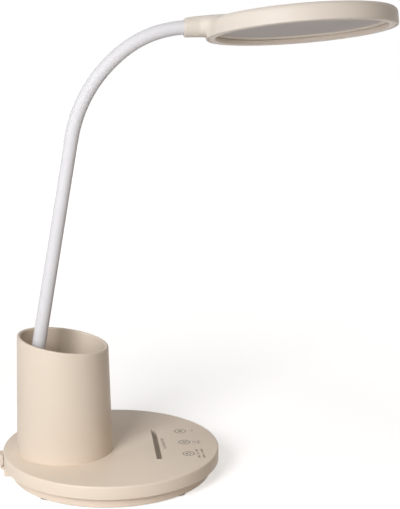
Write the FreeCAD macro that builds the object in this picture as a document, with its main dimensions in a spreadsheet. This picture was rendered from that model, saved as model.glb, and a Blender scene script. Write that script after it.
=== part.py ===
"""Gooseneck desk lamp with a pen cup on its round base.

Frame: origin on the desk under the centre of the base, +X from the cup towards
the reader, +Z up, millimetres.  The head is built in a frame of its own (origin
at the middle of its underside, +X away from the neck) and then placed.
"""
import FreeCAD, Part
import math
import os
import re

import Sketcher
from FreeCAD import Placement, Rotation, Vector

# name, value in millimetres (degrees where the note says so), what it is
SIZES = (
    ("base_radius", 80.0, "outer radius of the base"),
    ("base_height", 18.9, "desk to the top face of the base"),
    ("rim_height", 9.9, "height of the rim"),
    ("rim_inset", 6.0, "bottom cover's side to the rim's outer face"),
    ("shell_wall", 2.2, "wall of the base's top cover"),
    ("overrun", 1.0, "how far a cut runs past the face it leaves"),
    ("rim_round", 1.2, "rounding of the base's upper edge"),
    ("under_wall", 2.0, "wall of the bottom cover"),
    ("under_round", 0.9, "rounding of the bottom cover's lower edge"),
    ("seam_overlap", 1.8, "height the two covers share inside the rim"),
    ("seam_gap", 0.3, "gap between the two covers"),
    ("foot_proud", 0.8, "how far a rubber foot stands out"),
    ("foot_radius", 5.5, "radius of a rubber foot"),
    ("foot_nub", 0.6, "depth a foot reaches into the screw's hole"),
    ("foot_inset", 5.7, "a foot's middle to the bottom cover's side"),
    ("foot_front_angle", 51.0, "degrees from +X to the front feet"),
    ("foot_back_angle", 137.0, "degrees from +X to the back feet"),
    ("fit_gap", 0.2, "gap round a piece that sits in a pocket"),
    ("post_radius", 3.4, "radius of a screw post in the top cover"),
    ("screw_radius", 1.45, "shank radius of a cover screw"),
    ("screw_head", 2.8, "head radius of a cover screw"),
    ("screw_head_height", 1.8, "head height of a cover screw"),
    ("screw_room", 2.5, "a cover screw's tip to the roof over it"),
    ("screw_gap", 0.05, "radial gap round a shank or a pin"),
    ("hole_spare", 0.5, "depth of a screw's hole past its tip"),
    ("boss_floor", 2.2, "plastic between a screw's head and the post"),
    ("boss_wall", 1.4, "wall round the screw heads"),
    ("ballast_margin", 5.9, "ballast to the screw bosses"),
    ("peg_radius", 2.0, "radius of a locating peg"),
    ("peg_proud", 1.0, "how far a peg stands through its hole"),
    ("peg_circle", 44.0, "distance of the ballast pegs from the axis"),
    ("cell_long", 52.0, "length of the battery"),
    ("cell_wide", 44.0, "width of the battery"),
    ("cell_height", 6.0, "thickness of the battery"),
    ("cell_back", 3.0, "distance of the battery behind the base's axis"),
    ("cell_room", 2.4, "battery to the roof over it"),
    ("tape_inset", 3.0, "edge of the battery to its tape"),
    ("tape_height", 0.5, "thickness of the tape under the battery"),
    ("cup_back", 34.4, "distance of the cup's axis behind the base's"),
    ("cup_low_radius", 35.4, "outer radius of the cup where it stands"),
    ("cup_high_radius", 33.2, "outer radius of the cup at its mouth"),
    ("cup_height", 83.6, "height of the mouth at the cup's axis"),
    ("cup_wall", 2.5, "wall of the cup"),
    ("cup_floor", 2.5, "floor of the cup"),
    ("mouth_fall", 0.151, "fall of the slanted mouth per millimetre forward"),
    ("lip_round", 1.0, "rounding of the cup's lip"),
    ("cup_peg_in", 8.9, "the cup's pegs to its inner wall"),
    ("neck_inset", 8.95, "the neck's axis to the cup's inner wall"),
    ("slot_ahead", 33.6, "distance of the slot ahead of the base's axis"),
    ("slot_length", 62.0, "length of the phone slot"),
    ("slot_width", 4.0, "width of the phone slot"),
    ("slot_depth", 7.5, "depth of the phone slot"),
    ("slot_lean", 0.5, "how far the slot leans forward per millimetre down"),
    ("slot_turn", -1.6, "turn of the slot about the base's axis, degrees"),
    ("slot_wall", 1.6, "wall of the trough under the slot"),
    ("touch_ahead", 54.8, "distance of the touch keys ahead of the axis"),
    ("touch_pitch", 23.6, "distance from one touch key to the next"),
    ("touch_board_end", 8.4, "end of the touch board past the outer key"),
    ("touch_post_in", 6.2, "touch board's inner edge to its posts"),
    ("touch_board_wide", 22.0, "width of the touch board"),
    ("board_thick", 1.2, "thickness of a circuit board"),
    ("board_post_in", 4.0, "edge of a board to its posts"),
    ("pad_radius", 4.2, "radius of a touch key's foam pad"),
    ("pad_height", 2.5, "height of a touch key's foam pad"),
    ("board_post", 2.2, "radius of a circuit board's post"),
    ("board_screw", 0.85, "shank radius of a board screw"),
    ("board_screw_head", 1.9, "head radius of a board screw"),
    ("board_screw_height", 1.1, "head height of a board screw"),
    ("board_screw_grip", 1.7, "depth a board screw bites into its post"),
    ("main_board_gap", 5.0, "back edge of the main board to the rim's outer face"),
    ("main_board_long", 36.0, "length of the main board"),
    ("main_board_wide", 32.0, "width of the main board"),
    ("port_drop", 2.9, "middle of the charging port to the roof"),
    ("port_wide", 9.4, "width of the port's opening"),
    ("port_tall", 3.8, "height of the port's opening"),
    ("socket_wide", 8.9, "width of the charging socket"),
    ("socket_tall", 3.2, "height of the charging socket"),
    ("socket_long", 7.3, "length of the charging socket"),
    ("socket_wall", 0.3, "sheet of the charging socket"),
    ("socket_gap", 0.6, "socket's face to the rim's inner face"),
    ("socket_back", 1.0, "back wall of the charging socket"),
    ("tongue_inset", 1.2, "side of the socket to its tongue"),
    ("tongue_thick", 0.72, "thickness of the socket's tongue"),
    ("tongue_sunk", 1.0, "socket's face to the end of its tongue"),
    ("flap_wide", 10.4, "width of the port's rubber flap"),
    ("flap_drop", 1.0, "top face of the base to the flap's upper edge"),
    ("flap_rise", 0.8, "lower edge of the rim to the flap's plate"),
    ("flap_thick", 2.3, "thickness of the flap"),
    ("flap_gap", 0.3, "gap between the flap and the rim"),
    ("plug_deep", 0.9, "depth the flap's plug reaches into the port"),
    ("plug_side_gap", 0.9, "side of the flap's plug to the port"),
    ("plug_end_gap", 0.6, "top of the flap's plug to the port"),
    ("hinge_out", 1.5, "the flap's hinge to the rim's outer face"),
    ("hinge_drop", 0.7, "the flap's hinge to the rim's lower edge"),
    ("knuckle_radius", 1.1, "radius of the hinge's knuckles"),
    ("knuckle_root", 1.0, "how far the knuckle runs into the flap's plate"),
    ("lug_wide", 2.3, "width of a hinge lug"),
    ("hinge_pin", 0.5, "radius of the hinge's pin"),
    ("press_gap", 0.01, "radial gap round the pin's pressed ends"),
    ("block_inset", 0.2, "rim's outer face to the hinge block"),
    ("block_root", 1.0, "how far that block runs into the bottom cover's side"),
    ("core_radius", 3.2, "outer radius of the steel core"),
    ("core_bore", 1.6, "bore of the steel core"),
    ("sleeve_wall", 1.75, "wall of the silicone sleeve"),
    ("core_gap", 0.05, "radial gap between the core and what it sits in"),
    ("core_grip", 7.0, "depth the core goes into a ferrule"),
    ("ferrule_wall", 1.75, "wall of the lower ferrule"),
    ("thread_proud", 0.3, "thread that shows under the nut"),
    ("flange_lip", 2.6, "how far the ferrule's flange stands out"),
    ("washer_lip", 3.4, "how far the washer stands out"),
    ("nut_wall", 2.0, "wall of the nut across its flats"),
    ("flange_height", 2.0, "height of the lower ferrule's flange"),
    ("washer_height", 0.8, "thickness of that washer"),
    ("nut_height", 2.8, "height of the nut"),
    ("first_bend_radius", 439.0, "bend radius of the neck inside the cup"),
    ("first_lean", 10.05, "lean of the neck's long straight, degrees"),
    ("straight_length", 152.6, "length of the neck's long straight"),
    ("crown_radius", 99.3, "bend radius where the neck turns over"),
    ("crown_lean", 54.0, "lean where the tighter bend starts, degrees"),
    ("tip_radius", 75.0, "bend radius of the last stretch"),
    ("head_pitch", 2.57, "rise of the head away from the neck, degrees"),
    ("head_roll", 12.57, "turn of the head about its stem, degrees"),
    ("mouth_entry", 2.5, "depth the sleeve goes into the stem's mouth"),
    ("bend_length", 12.0, "length of neck that flexes at a bend"),
    ("low_bend_at", 104.0, "way along the neck to the lowest bend"),
    ("sway_bend_at", 128.0, "way along the neck to the sideways bend"),
    ("crown_bend_at", 282.0, "way along the neck to the bend at the crown"),
    ("tip_bend_before", 17.0, "from the bend at the tip to the stem's mouth"),
    ("head_radius", 68.5, "outer radius of the head"),
    ("head_height", 13.2, "thickness of the head"),
    ("head_wall", 1.9, "wall of the head shell"),
    ("head_roof", 2.0, "roof of the head shell"),
    ("head_edge", 2.4, "rounding of the head's upper edge"),
    ("head_lower_edge", 0.6, "rounding of the head's lower edge"),
    ("stem_drop", 4.5, "top of the head to the stem's axis"),
    ("stem_out", 16.0, "length of stem outside the head"),
    ("saddle_run", 14.5, "length of the saddle over the head before it falls"),
    ("saddle_sunk", 1.0, "how deep the saddle's end lies under the head's top"),
    ("stem_flare", 0.8, "how much the stem widens to the head's side"),
    ("root_rise", 0.1, "how much it widens over the head"),
    ("saddle_nose", 9.0, "length of the saddle's rounded end"),
    ("saddle_round", 11.4, "radius of that rounded end"),
    ("mouth_gap", 0.5, "gap round the sleeve in the stem's mouth"),
    ("mouth_wall", 1.5, "wall of the stem at its mouth"),
    ("wire_run", 12.1, "length of the wire's way over the light"),
    ("wire_bore", 3.5, "radius of the wire's way through the stem"),
    ("swivel_gap", 0.06, "running gap round the swivel bush"),
    ("groove_wall", 0.65, "wall of the swivel bush under its groove"),
    ("groove_depth", 1.1, "depth of the bush's groove"),
    ("swivel_length", 11.5, "length of the swivel bush"),
    ("groove_at", 5.5, "from the bush's outer end to its groove"),
    ("groove_width", 2.6, "width of the bush's groove"),
    ("stem_pin_radius", 1.0, "radius of the pin that holds the bush"),
    ("stem_pin_sunk", 0.4, "how far that pin is sunk in the stem"),
    ("lip_width", 6.6, "width of the ring round the light panel"),
    ("bezel_plate", 1.6, "thickness of the bezel's flange"),
    ("bezel_wall", 2.0, "inner wall of the bezel"),
    ("shadow_low", 2.4, "underside to the shadow groove in the bezel's inner wall"),
    ("shadow_deep", 1.2, "depth of that groove"),
    ("bezel_gap", 0.2, "gap between bezel and shell"),
    ("hook_wall", 1.1, "thickness of a snap hook"),
    ("hook_barb", 0.5, "how far a snap hook stands out"),
    ("hook_rise", 4.8, "height of a snap hook over the bezel's flange"),
    ("hook_height", 0.9, "height of a snap hook's barb"),
    ("hook_arc", 12.0, "arc of one snap hook, degrees"),
    ("hook_count", 6.0, "snap hooks round the bezel"),
    ("panel_thick", 1.5, "thickness of the diffuser"),
    ("panel_rim_drop", 1.1, "how far the diffuser's raised rim stands down from its face"),
    ("panel_rim_wide", 1.6, "width of that rim"),
    ("panel_gap", 2.0, "diffuser's edge to the shell's inner face"),
    ("guide_thick", 3.0, "thickness of the light guide"),
    ("strip_thick", 0.5, "thickness of that ring's flexible board"),
    ("led_wide", 3.2, "width of one light"),
    ("led_tall", 2.0, "height of one light"),
    ("led_deep", 0.8, "depth of one light"),
    ("led_gap", 0.3, "lights to the edge of the light guide"),
    ("strip_inset", 0.6, "diffuser's edge to the ring of lights"),
    ("led_count", 36.0, "lights round the guide"),
    ("sheet_thick", 0.3, "thickness of the reflector sheet"),
    ("plate_thick", 1.0, "thickness of the head's back plate"),
    ("rib_radius", 3.0, "radius of the roof's ribs"),
    ("rib_proud", 1.1, "how far the ribs stand down to the back plate"),
    ("rib_inset", 14.6, "diffuser's edge to the ribs"),
)

# sizes that follow from the ones above, so that pieces keep their fit
FITTED = (
    ("rim_bottom", "base_height - rim_height", "desk to the lower edge of the rim"),
    ("under_radius", "base_radius - rim_inset", "radius of the bottom cover"),
    ("foot_circle", "under_radius - foot_inset", "distance of the feet and screws from the axis"),
    ("post_bottom",
     "foot_proud + foot_nub + screw_head_height + boss_floor",
     "desk to the faces where the posts meet"),
    ("screw_length",
     "base_height - shell_wall - screw_room - foot_proud - foot_nub - screw_head_height",
     "shank length of a cover screw"),
    ("ballast_radius",
     "foot_circle - screw_head - fit_gap - boss_wall - ballast_margin",
     "radius of the steel ballast"),
    ("ballast_height",
     "base_height - shell_wall - cell_room - cell_height - tape_height - foot_proud - under_wall",
     "thickness of the steel ballast"),
    ("cup_peg_out",
     "cup_low_radius - cup_wall - cup_peg_in",
     "distance of the cup's pegs from its axis"),
    ("touch_board_long", "2 * (touch_pitch + touch_board_end)", "length of the touch board"),
    ("touch_post_out",
     "touch_board_long / 2 - board_post_in",
     "sideways distance of the touch board's posts"),
    ("touch_post_ahead",
     "touch_ahead - touch_board_wide / 2 + touch_post_in",
     "distance of those posts ahead of the axis"),
    ("main_board_back", "base_radius - main_board_gap", "back edge of the main board"),
    ("main_post_out",
     "main_board_wide / 2 - board_post_in",
     "sideways distance of the main board's posts"),
    ("main_post_back",
     "main_board_back - main_board_long + board_post_in",
     "distance of those posts behind the axis"),
    ("port_height", "base_height - shell_wall - port_drop", "desk to the middle of the charging port"),
    ("socket_face",
     "base_radius - shell_wall - socket_gap",
     "distance of the socket's face behind the axis"),
    ("flap_top", "base_height - flap_drop", "desk to the upper edge of the flap"),
    ("flap_bottom", "rim_bottom + flap_rise", "desk to the lower edge of the flap's plate"),
    ("plug_wide", "port_wide - 2 * plug_side_gap", "width of the flap's plug"),
    ("plug_tall", "port_tall - 2 * plug_end_gap", "height of the flap's plug"),
    ("hinge_back", "base_radius + hinge_out", "distance of the flap's hinge behind the axis"),
    ("hinge_height", "rim_bottom - hinge_drop", "desk to the flap's hinge"),
    ("knuckle_wide", "flap_wide - 2 * (seam_gap + lug_wide + fit_gap)", "width of the flap's knuckle"),
    ("block_reach", "base_radius - block_inset", "reach of the block that carries the hinge"),
    ("neck_foot",
     "cup_back + cup_low_radius - cup_wall - neck_inset",
     "distance of the neck's foot behind the base's axis"),
    ("neck_radius", "core_radius + core_gap + sleeve_wall", "outer radius of the silicone sleeve"),
    ("thread_radius", "core_radius + core_gap + ferrule_wall", "radius of the lower ferrule's thread"),
    ("thread_end",
     "base_height - shell_wall - washer_height - nut_height - thread_proud",
     "desk to the lower end of the thread"),
    ("flange_radius", "thread_radius + flange_lip", "radius of the lower ferrule's flange"),
    ("washer_radius", "thread_radius + washer_lip", "radius of the washer under the roof"),
    ("nut_width", "2 * (thread_radius + nut_wall)", "width of the nut across its flats"),
    ("stem_axis", "head_height - stem_drop", "height of the stem's axis over the underside"),
    ("stem_reach", "head_radius + stem_out", "stem's mouth to the middle of the head"),
    ("stem_mouth_radius",
     "neck_radius + mouth_gap + mouth_wall",
     "outer radius of the stem at its mouth"),
    ("stem_side_radius",
     "stem_mouth_radius + stem_flare",
     "outer radius of the stem at the head's side"),
    ("stem_root_radius", "stem_side_radius + root_rise", "outer radius of the stem over the head"),
    ("stem_length", "stem_out + saddle_run", "length of the stem with its saddle"),
    ("saddle_drop",
     "stem_root_radius - (head_height - stem_axis - saddle_sunk)",
     "fall of the saddle's rounded end"),
    ("wire_reach", "stem_out + head_wall + wire_run", "how far the wire's way goes in from the mouth"),
    ("swivel_groove",
     "core_radius + core_gap + groove_wall",
     "radius at the bottom of the bush's groove"),
    ("swivel_radius", "swivel_groove + groove_depth", "outer radius of the swivel bush"),
    ("panel_radius",
     "head_radius - head_wall - panel_gap",
     "radius of the diffuser and the back plate"),
    ("strip_radius", "panel_radius - strip_inset", "outer radius of the ring of lights"),
    ("guide_radius", "strip_radius - strip_thick - led_deep - led_gap", "radius of the light guide"),
    ("lip_recess",
     "head_height - head_roof - rib_proud - plate_thick - sheet_thick - guide_thick - panel_thick",
     "depth of the light panel in its ring"),
    ("hook_top", "bezel_plate + hook_rise", "underside to the top of a snap hook"),
    ("rib_circle", "panel_radius - rib_inset", "distance of the roof's ribs from the head's middle"),
)

doc = FreeCAD.newDocument("DeskLamp")
sheet = doc.addObject("Spreadsheet::Sheet", "Sizes")
for row, (name, size, note) in enumerate(SIZES + FITTED, start=1):
    sheet.set(f"A{row}", f"={size}")
    sheet.setAlias(f"A{row}", name)
    sheet.set(f"B{row}", note)
doc.recompute()

WORD = re.compile(r"\b(" + "|".join(name for name, size, note in SIZES + FITTED) + r")\b")
PIECES = []


def cells(expression):
    """Write a sheet expression out with the sheet's name before each alias."""
    return WORD.sub(r"Sizes.\1", str(expression))


def mm(expression):
    """Value of a sheet expression."""
    return float(sheet.evalExpression(cells(expression)))


def listed(piece):
    """Note a finished sub-part for export."""
    PIECES.append(piece)
    return piece


# ---------------------------------------------------------------- sketching
def new_body(label):
    """Empty PartDesign body that becomes one sub-part."""
    body = doc.addObject("PartDesign::Body", label)
    body.Label = label
    return listed(body)


def datum(body, role):
    """One of the body's own origin planes or axes."""
    return next(o for o in body.Origin.OriginFeatures if o.Role == role)


def new_sketch(body, name, plane="XY_Plane", height="0"):
    """Sketch on an origin plane, lifted by a sheet expression."""
    sketch = body.newObject("Sketcher::SketchObject", name)
    sketch.AttachmentSupport = (datum(body, plane), [""])
    sketch.MapMode = "FlatFace"
    sketch.setExpression("AttachmentOffset.Base.z", cells(height))
    return sketch


def swing(sketch, angle):
    """Turn an upright sketch about the body's Z axis."""
    sketch.AttachmentOffset = Placement(Vector(), Rotation(Vector(0, 1, 0), mm(angle)))
    sketch.setExpression("AttachmentOffset.Rotation.Angle", cells(angle))


def pin_point(sketch, geometry, position, across, up):
    """Tie a sketch point to two sheet expressions."""
    for kind, expression in (("DistanceX", across), ("DistanceY", up)):
        rule = Sketcher.Constraint(kind, geometry, position, mm(expression))
        index = sketch.addConstraint(rule)
        sketch.setExpression(f"Constraints[{index}]", cells(expression))


def outline(sketch, *corners):
    """Closed outline through corners given as expressions.

    A third entry makes the side after that corner an arc of that radius, which
    runs clockwise when the entry starts with a minus sign.
    """
    points = [Vector(mm(corner[0]), mm(corner[1]), 0) for corner in corners]
    first = sketch.GeometryCount
    count = len(points)
    ends = []
    for i, corner in enumerate(corners):
        start, stop = points[i], points[(i + 1) % count]
        if len(corner) == 2:
            sketch.addGeometry(Part.LineSegment(start, stop), False)
            ends.append((1, 2))
            continue
        clockwise = corner[2].startswith("-")
        radius = corner[2].lstrip("-")
        if clockwise:
            start, stop = stop, start
        sketch.addGeometry(arc_between(start, stop, mm(radius)), False)
        ends.append((2, 1) if clockwise else (1, 2))
        rule = sketch.addConstraint(Sketcher.Constraint("Radius", first + i, mm(radius)))
        sketch.setExpression(f"Constraints[{rule}]", cells(radius))
    for i in range(count):
        after = (i + 1) % count
        sketch.addConstraint(Sketcher.Constraint(
            "Coincident", first + i, ends[i][1], first + after, ends[after][0]))
    for i, corner in enumerate(corners):
        pin_point(sketch, first + i, ends[i][0], corner[0], corner[1])


def arc_between(start, stop, radius):
    """Anticlockwise arc of a radius, the shorter way round."""
    chord = stop - start
    rise = math.sqrt(max(radius ** 2 - (chord.Length / 2) ** 2, 0.0))
    left = Vector(-chord.y, chord.x, 0).normalize()
    middle = (start + stop) / 2 + left * rise
    begin = math.atan2(start.y - middle.y, start.x - middle.x)
    end = math.atan2(stop.y - middle.y, stop.x - middle.x)
    circle = Part.Circle(middle, Vector(0, 0, 1), radius)
    return Part.ArcOfCircle(circle, begin, end)


def ring(sketch, across, up, radius):
    """Circle whose centre and radius are sheet expressions."""
    middle = Vector(mm(across), mm(up), 0)
    index = sketch.addGeometry(Part.Circle(middle, Vector(0, 0, 1), mm(radius)), False)
    pin_point(sketch, index, 3, across, up)
    rule = sketch.addConstraint(Sketcher.Constraint("Radius", index, mm(radius)))
    sketch.setExpression(f"Constraints[{rule}]", cells(radius))


def box_outline(sketch, across, up, wide, tall):
    """Rectangle about a middle point."""
    left, right = f"{across} - ({wide}) / 2", f"{across} + ({wide}) / 2"
    low, high = f"{up} - ({tall}) / 2", f"{up} + ({tall}) / 2"
    outline(sketch, (left, low), (right, low), (right, high), (left, high))


# ----------------------------------------------------------------- features
def turn(body, name, *corners, cut=False, lift="0", angle="360", spindle="V_Axis"):
    """Revolve an outline drawn in the XZ plane, lifted up that plane."""
    sketch = new_sketch(body, name + "_outline", "XZ_Plane")
    sketch.setExpression("AttachmentOffset.Base.y", cells(lift))
    outline(sketch, *corners)
    kind = "PartDesign::Groove" if cut else "PartDesign::Revolution"
    feature = body.newObject(kind, name)
    feature.Profile = sketch
    feature.ReferenceAxis = (sketch, [spindle])
    feature.setExpression("Angle", cells(angle))
    feature.Midplane = mm(angle) < 360
    doc.recompute()
    return feature


def pad(body, sketch, name, length, down=False, both=False):
    """Raise a sketch by a length given as an expression."""
    feature = body.newObject("PartDesign::Pad", name)
    feature.Profile = sketch
    feature.setExpression("Length", cells(length))
    feature.Reversed = down
    if both:
        feature.SideType = "Symmetric"
    doc.recompute()
    return feature


def pocket(body, sketch, name, length, up=False, both=False):
    """Sink a sketch below its plane, above it, or both ways."""
    before = body.Shape.Volume
    feature = body.newObject("PartDesign::Pocket", name)
    feature.Profile = sketch
    feature.setExpression("Length", cells(length))
    feature.Reversed = up
    if both:
        feature.SideType = "Symmetric"
    doc.recompute()
    if not body.Shape.Volume < before:
        raise ValueError(f"{body.Label}: {name} removes nothing")
    return feature


def around(body, feature, name, count):
    """Repeat a feature evenly round the body's Z axis."""
    pattern = body.newObject("PartDesign::PolarPattern", name)
    pattern.Originals = [feature]
    pattern.Axis = (datum(body, "Z_Axis"), [""])
    pattern.Angle = 360
    pattern.Occurrences = int(count)
    body.Tip = pattern
    doc.recompute()
    return pattern


def round_off(body, name, radius, chosen):
    """Fillet the edges that a test picks."""
    base = body.Tip
    names = [f"Edge{i}" for i, edge in enumerate(base.Shape.Edges, start=1) if chosen(edge)]
    fillet = body.newObject("PartDesign::Fillet", name)
    fillet.Base = (base, names)
    fillet.setExpression("Radius", cells(radius))
    doc.recompute()
    return fillet


def along(edge, direction):
    """Whether an edge is a straight line along a direction."""
    if not isinstance(edge.Curve, Part.Line):
        return False
    return abs(edge.Curve.Direction.dot(direction)) > 0.999


def shaped(label, shape):
    """Sub-part whose form comes from Part's own functions."""
    piece = doc.addObject("Part::Feature", label)
    piece.Label = label
    piece.Shape = shape
    return listed(piece)


def polar(radius, angle):
    """Expressions for a point at a radius and an angle in degrees."""
    return f"({radius}) * cos(({angle}) * 1deg)", f"({radius}) * sin(({angle}) * 1deg)"


def circles(body, name, height, radius, points):
    """Sketch of equal circles at a height."""
    sketch = new_sketch(body, name, height=height)
    for across, up in points:
        ring(sketch, across, up, radius)
    return sketch


def drum(label, radius, low, height):
    """Plain disc that stands on the body's Z axis."""
    body = new_body(label)
    pad(body, circles(body, "disc_outline", low, radius, [("0", "0")]), "disc", height)
    return body


FEET = [polar("foot_circle", angle) for angle in
        ("foot_front_angle", "foot_back_angle", "-foot_back_angle", "-foot_front_angle")]
THIRDS = (60, 180, 300)
PEGS = [polar("peg_circle", str(angle)) for angle in THIRDS]
CUP_PEGS = [("-cup_back", "cup_peg_out"), ("-cup_back", "-cup_peg_out")]
TOUCH_POSTS = [("touch_post_ahead", "touch_post_out"), ("touch_post_ahead", "-touch_post_out")]
MAIN_POSTS = [("-main_post_back", "main_post_out"), ("-main_post_back", "-main_post_out")]
NECK_HOLE = [("-neck_foot", "0")]
ROOF = "base_height - shell_wall"
SEAM = "rim_bottom + seam_overlap"
FLOOR = "foot_proud + under_wall"
TOUCH_BOARD = f"{ROOF} - pad_height - board_thick"
MAIN_BOARD = "port_height - socket_tall / 2 - board_thick"

# ------------------------------------------------------------ base: the covers
top_cover = new_body("top_cover")
turn(top_cover, "cover",
     ("0", ROOF), ("base_radius - shell_wall", ROOF), ("base_radius - shell_wall", SEAM),
     ("under_radius + seam_gap", SEAM), ("under_radius + seam_gap", "rim_bottom"),
     ("base_radius", "rim_bottom"), ("base_radius", "base_height - rim_round", "rim_round"),
     ("base_radius - rim_round", "base_height"), ("0", "base_height"))
pad(top_cover, circles(top_cover, "post_outline", "post_bottom", "post_radius", FEET),
    "posts", f"{ROOF} - post_bottom")
pad(top_cover, circles(top_cover, "touch_post_outline", f"{TOUCH_BOARD} + board_thick",
                       "board_post", TOUCH_POSTS), "touch_posts", "pad_height")
pad(top_cover, circles(top_cover, "main_post_outline", f"{MAIN_BOARD} + board_thick",
                       "board_post", MAIN_POSTS),
    "main_posts", f"{ROOF} - ({MAIN_BOARD} + board_thick)")


def leaning(low, high, grow):
    """Corners of the leaning slot's section, with a wall round it."""
    def at(side, height):
        lean = f"slot_lean * (base_height - ({height}))"
        return f"slot_ahead + {lean} + {side} * (slot_width / 2 + {grow})", height
    return at("-1", low), at("1", low), at("1", high), at("-1", high)


trough = new_sketch(top_cover, "trough_outline", "XZ_Plane")
outline(trough, *leaning("base_height - slot_depth - slot_wall", ROOF, "slot_wall"))
swing(trough, "slot_turn")
pad(top_cover, trough, "trough", "slot_length + 2 * slot_wall", both=True)
slot = new_sketch(top_cover, "slot_outline", "XZ_Plane")
outline(slot, *leaning("base_height - slot_depth", "base_height + overrun", "0"))
swing(slot, "slot_turn")
pocket(top_cover, slot, "slot", "slot_length", both=True)
pocket(top_cover, circles(top_cover, "thread_hole", "base_height",
                          "thread_radius + screw_gap", NECK_HOLE), "neck_hole", "shell_wall")
pocket(top_cover, circles(top_cover, "peg_hole_outline", "base_height",
                          "peg_radius + screw_gap", CUP_PEGS), "peg_holes", "shell_wall")
pocket(top_cover, circles(top_cover, "screw_hole_outline", "post_bottom",
                          "screw_radius + screw_gap", FEET),
       "screw_holes", "screw_length - (post_bottom - foot_proud - foot_nub - screw_head_height)"
       " + hole_spare", up=True)
pocket(top_cover, circles(top_cover, "touch_hole_outline", f"{TOUCH_BOARD} + board_thick",
                          "board_screw + screw_gap", TOUCH_POSTS),
       "touch_holes", "board_screw_grip + hole_spare", up=True)
pocket(top_cover, circles(top_cover, "main_hole_outline", f"{MAIN_BOARD} + board_thick",
                          "board_screw + screw_gap", MAIN_POSTS),
       "main_holes", "board_screw_grip + hole_spare", up=True)
port = new_sketch(top_cover, "port_outline", "YZ_Plane", "-base_radius - overrun")
box_outline(port, "0", "port_height", "port_wide", "port_tall")
pocket(top_cover, port, "port", "shell_wall + 2 * overrun", up=True)
round_off(top_cover, "port_corners", "port_tall / 2 - fit_gap / 2",
          lambda edge: along(edge, Vector(1, 0, 0)) and abs(abs(edge.CenterOfMass.y)
                                                           - mm("port_wide / 2")) < 0.01)

bottom_cover = new_body("bottom_cover")
turn(bottom_cover, "tray",
     ("0", "foot_proud"), ("under_radius - under_round", "foot_proud", "under_round"),
     ("under_radius", "foot_proud + under_round"), ("under_radius", SEAM),
     ("under_radius - under_wall", SEAM), ("under_radius - under_wall", FLOOR), ("0", FLOOR))
pad(bottom_cover, circles(bottom_cover, "boss_outline", "foot_proud",
                          "screw_head + fit_gap + boss_wall", FEET),
    "bosses", "post_bottom - foot_proud")
pad(bottom_cover, circles(bottom_cover, "peg_outline", FLOOR, "peg_radius", PEGS),
    "pegs", "ballast_height + peg_proud")
block = new_sketch(bottom_cover, "block_outline", "XZ_Plane")
outline(block, ("-(under_radius - block_root)", "foot_proud"), ("-block_reach", "foot_proud"),
        ("-block_reach", "hinge_height - 3 * knuckle_radius"),
        ("-(hinge_back + knuckle_radius)", "hinge_height - knuckle_radius / 2"),
        ("-(hinge_back + knuckle_radius)", "hinge_height", "-knuckle_radius"),
        ("-hinge_back", "hinge_height + knuckle_radius"),
        ("-(base_radius + flap_gap)", "rim_bottom - seam_gap"),
        ("-(under_radius - block_root)", "rim_bottom - seam_gap"))
pad(bottom_cover, block, "block", "flap_wide - 2 * seam_gap", both=True)
gate = new_sketch(bottom_cover, "gate_outline", "XZ_Plane")
outline(gate, ("-block_reach", "hinge_height - 3 * knuckle_radius"),
        ("-block_reach", "hinge_height + 2 * knuckle_radius"),
        ("-(hinge_back + 3 * knuckle_radius)", "hinge_height + 2 * knuckle_radius"),
        ("-(hinge_back + 3 * knuckle_radius)", "hinge_height - 3 * knuckle_radius"))
pocket(bottom_cover, gate, "gate", "knuckle_wide + 2 * fit_gap", both=True)
bore = new_sketch(bottom_cover, "pin_bore_outline", "XZ_Plane")
ring(bore, "-hinge_back", "hinge_height", "hinge_pin + press_gap")
pocket(bottom_cover, bore, "pin_bore", "flap_wide", both=True)
pocket(bottom_cover, circles(bottom_cover, "head_hole_outline", "foot_proud",
                             "screw_head + fit_gap", FEET),
       "head_holes", "foot_nub + screw_head_height", up=True)
pocket(bottom_cover, circles(bottom_cover, "shank_hole_outline", "post_bottom",
                             "screw_radius + screw_gap", FEET),
       "shank_holes", "post_bottom - foot_proud - foot_nub - screw_head_height")

# --------------------------------------------------- base: feet and fastenings
for number, (across, up) in enumerate(FEET, start=1):
    foot = new_body(f"foot_{number}")
    pad(foot, circles(foot, "sole_outline", "0", "foot_radius", [(across, up)]),
        "sole", "foot_proud")
    pad(foot, circles(foot, "nub_outline", "foot_proud", "screw_head", [(across, up)]),
        "nub", "foot_nub")


def screw(label, points, head_low, head_radius, head_height, radius, length):
    """Equal screws, head down, at several places."""
    bodies = []
    for across, up in points:
        head = Part.makeCylinder(mm(head_radius), mm(head_height))
        shank = Part.makeCylinder(mm(radius), mm(length), Vector(0, 0, mm(head_height)))
        notch = Part.makeBox(mm(head_radius) * 1.2, mm(radius) / 2, mm(head_height) / 2)
        notch.translate(Vector(-mm(head_radius) * 0.6, -mm(radius) / 4, 0))
        turned = notch.copy()
        turned.rotate(Vector(), Vector(0, 0, 1), 90)
        whole = head.fuse(shank).cut(notch.fuse(turned)).removeSplitter()
        whole.translate(Vector(mm(across), mm(up), mm(head_low)))
        bodies.append(whole)
    return shaped(label, Part.makeCompound(bodies))


screw("cover_screws", FEET, "foot_proud + foot_nub", "screw_head", "screw_head_height",
      "screw_radius", "screw_length")
screw("touch_board_screws", TOUCH_POSTS, f"{TOUCH_BOARD} - board_screw_height",
      "board_screw_head", "board_screw_height", "board_screw", "board_thick + board_screw_grip")
screw("main_board_screws", MAIN_POSTS, f"{MAIN_BOARD} - board_screw_height",
      "board_screw_head", "board_screw_height", "board_screw", "board_thick + board_screw_grip")

# ------------------------------------------------------- base: what it carries
ballast = drum("ballast", "ballast_radius", FLOOR, "ballast_height")
pocket(ballast, circles(ballast, "ballast_hole_outline", FLOOR, "peg_radius + screw_gap", PEGS),
       "ballast_holes", "ballast_height", up=True)


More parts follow.
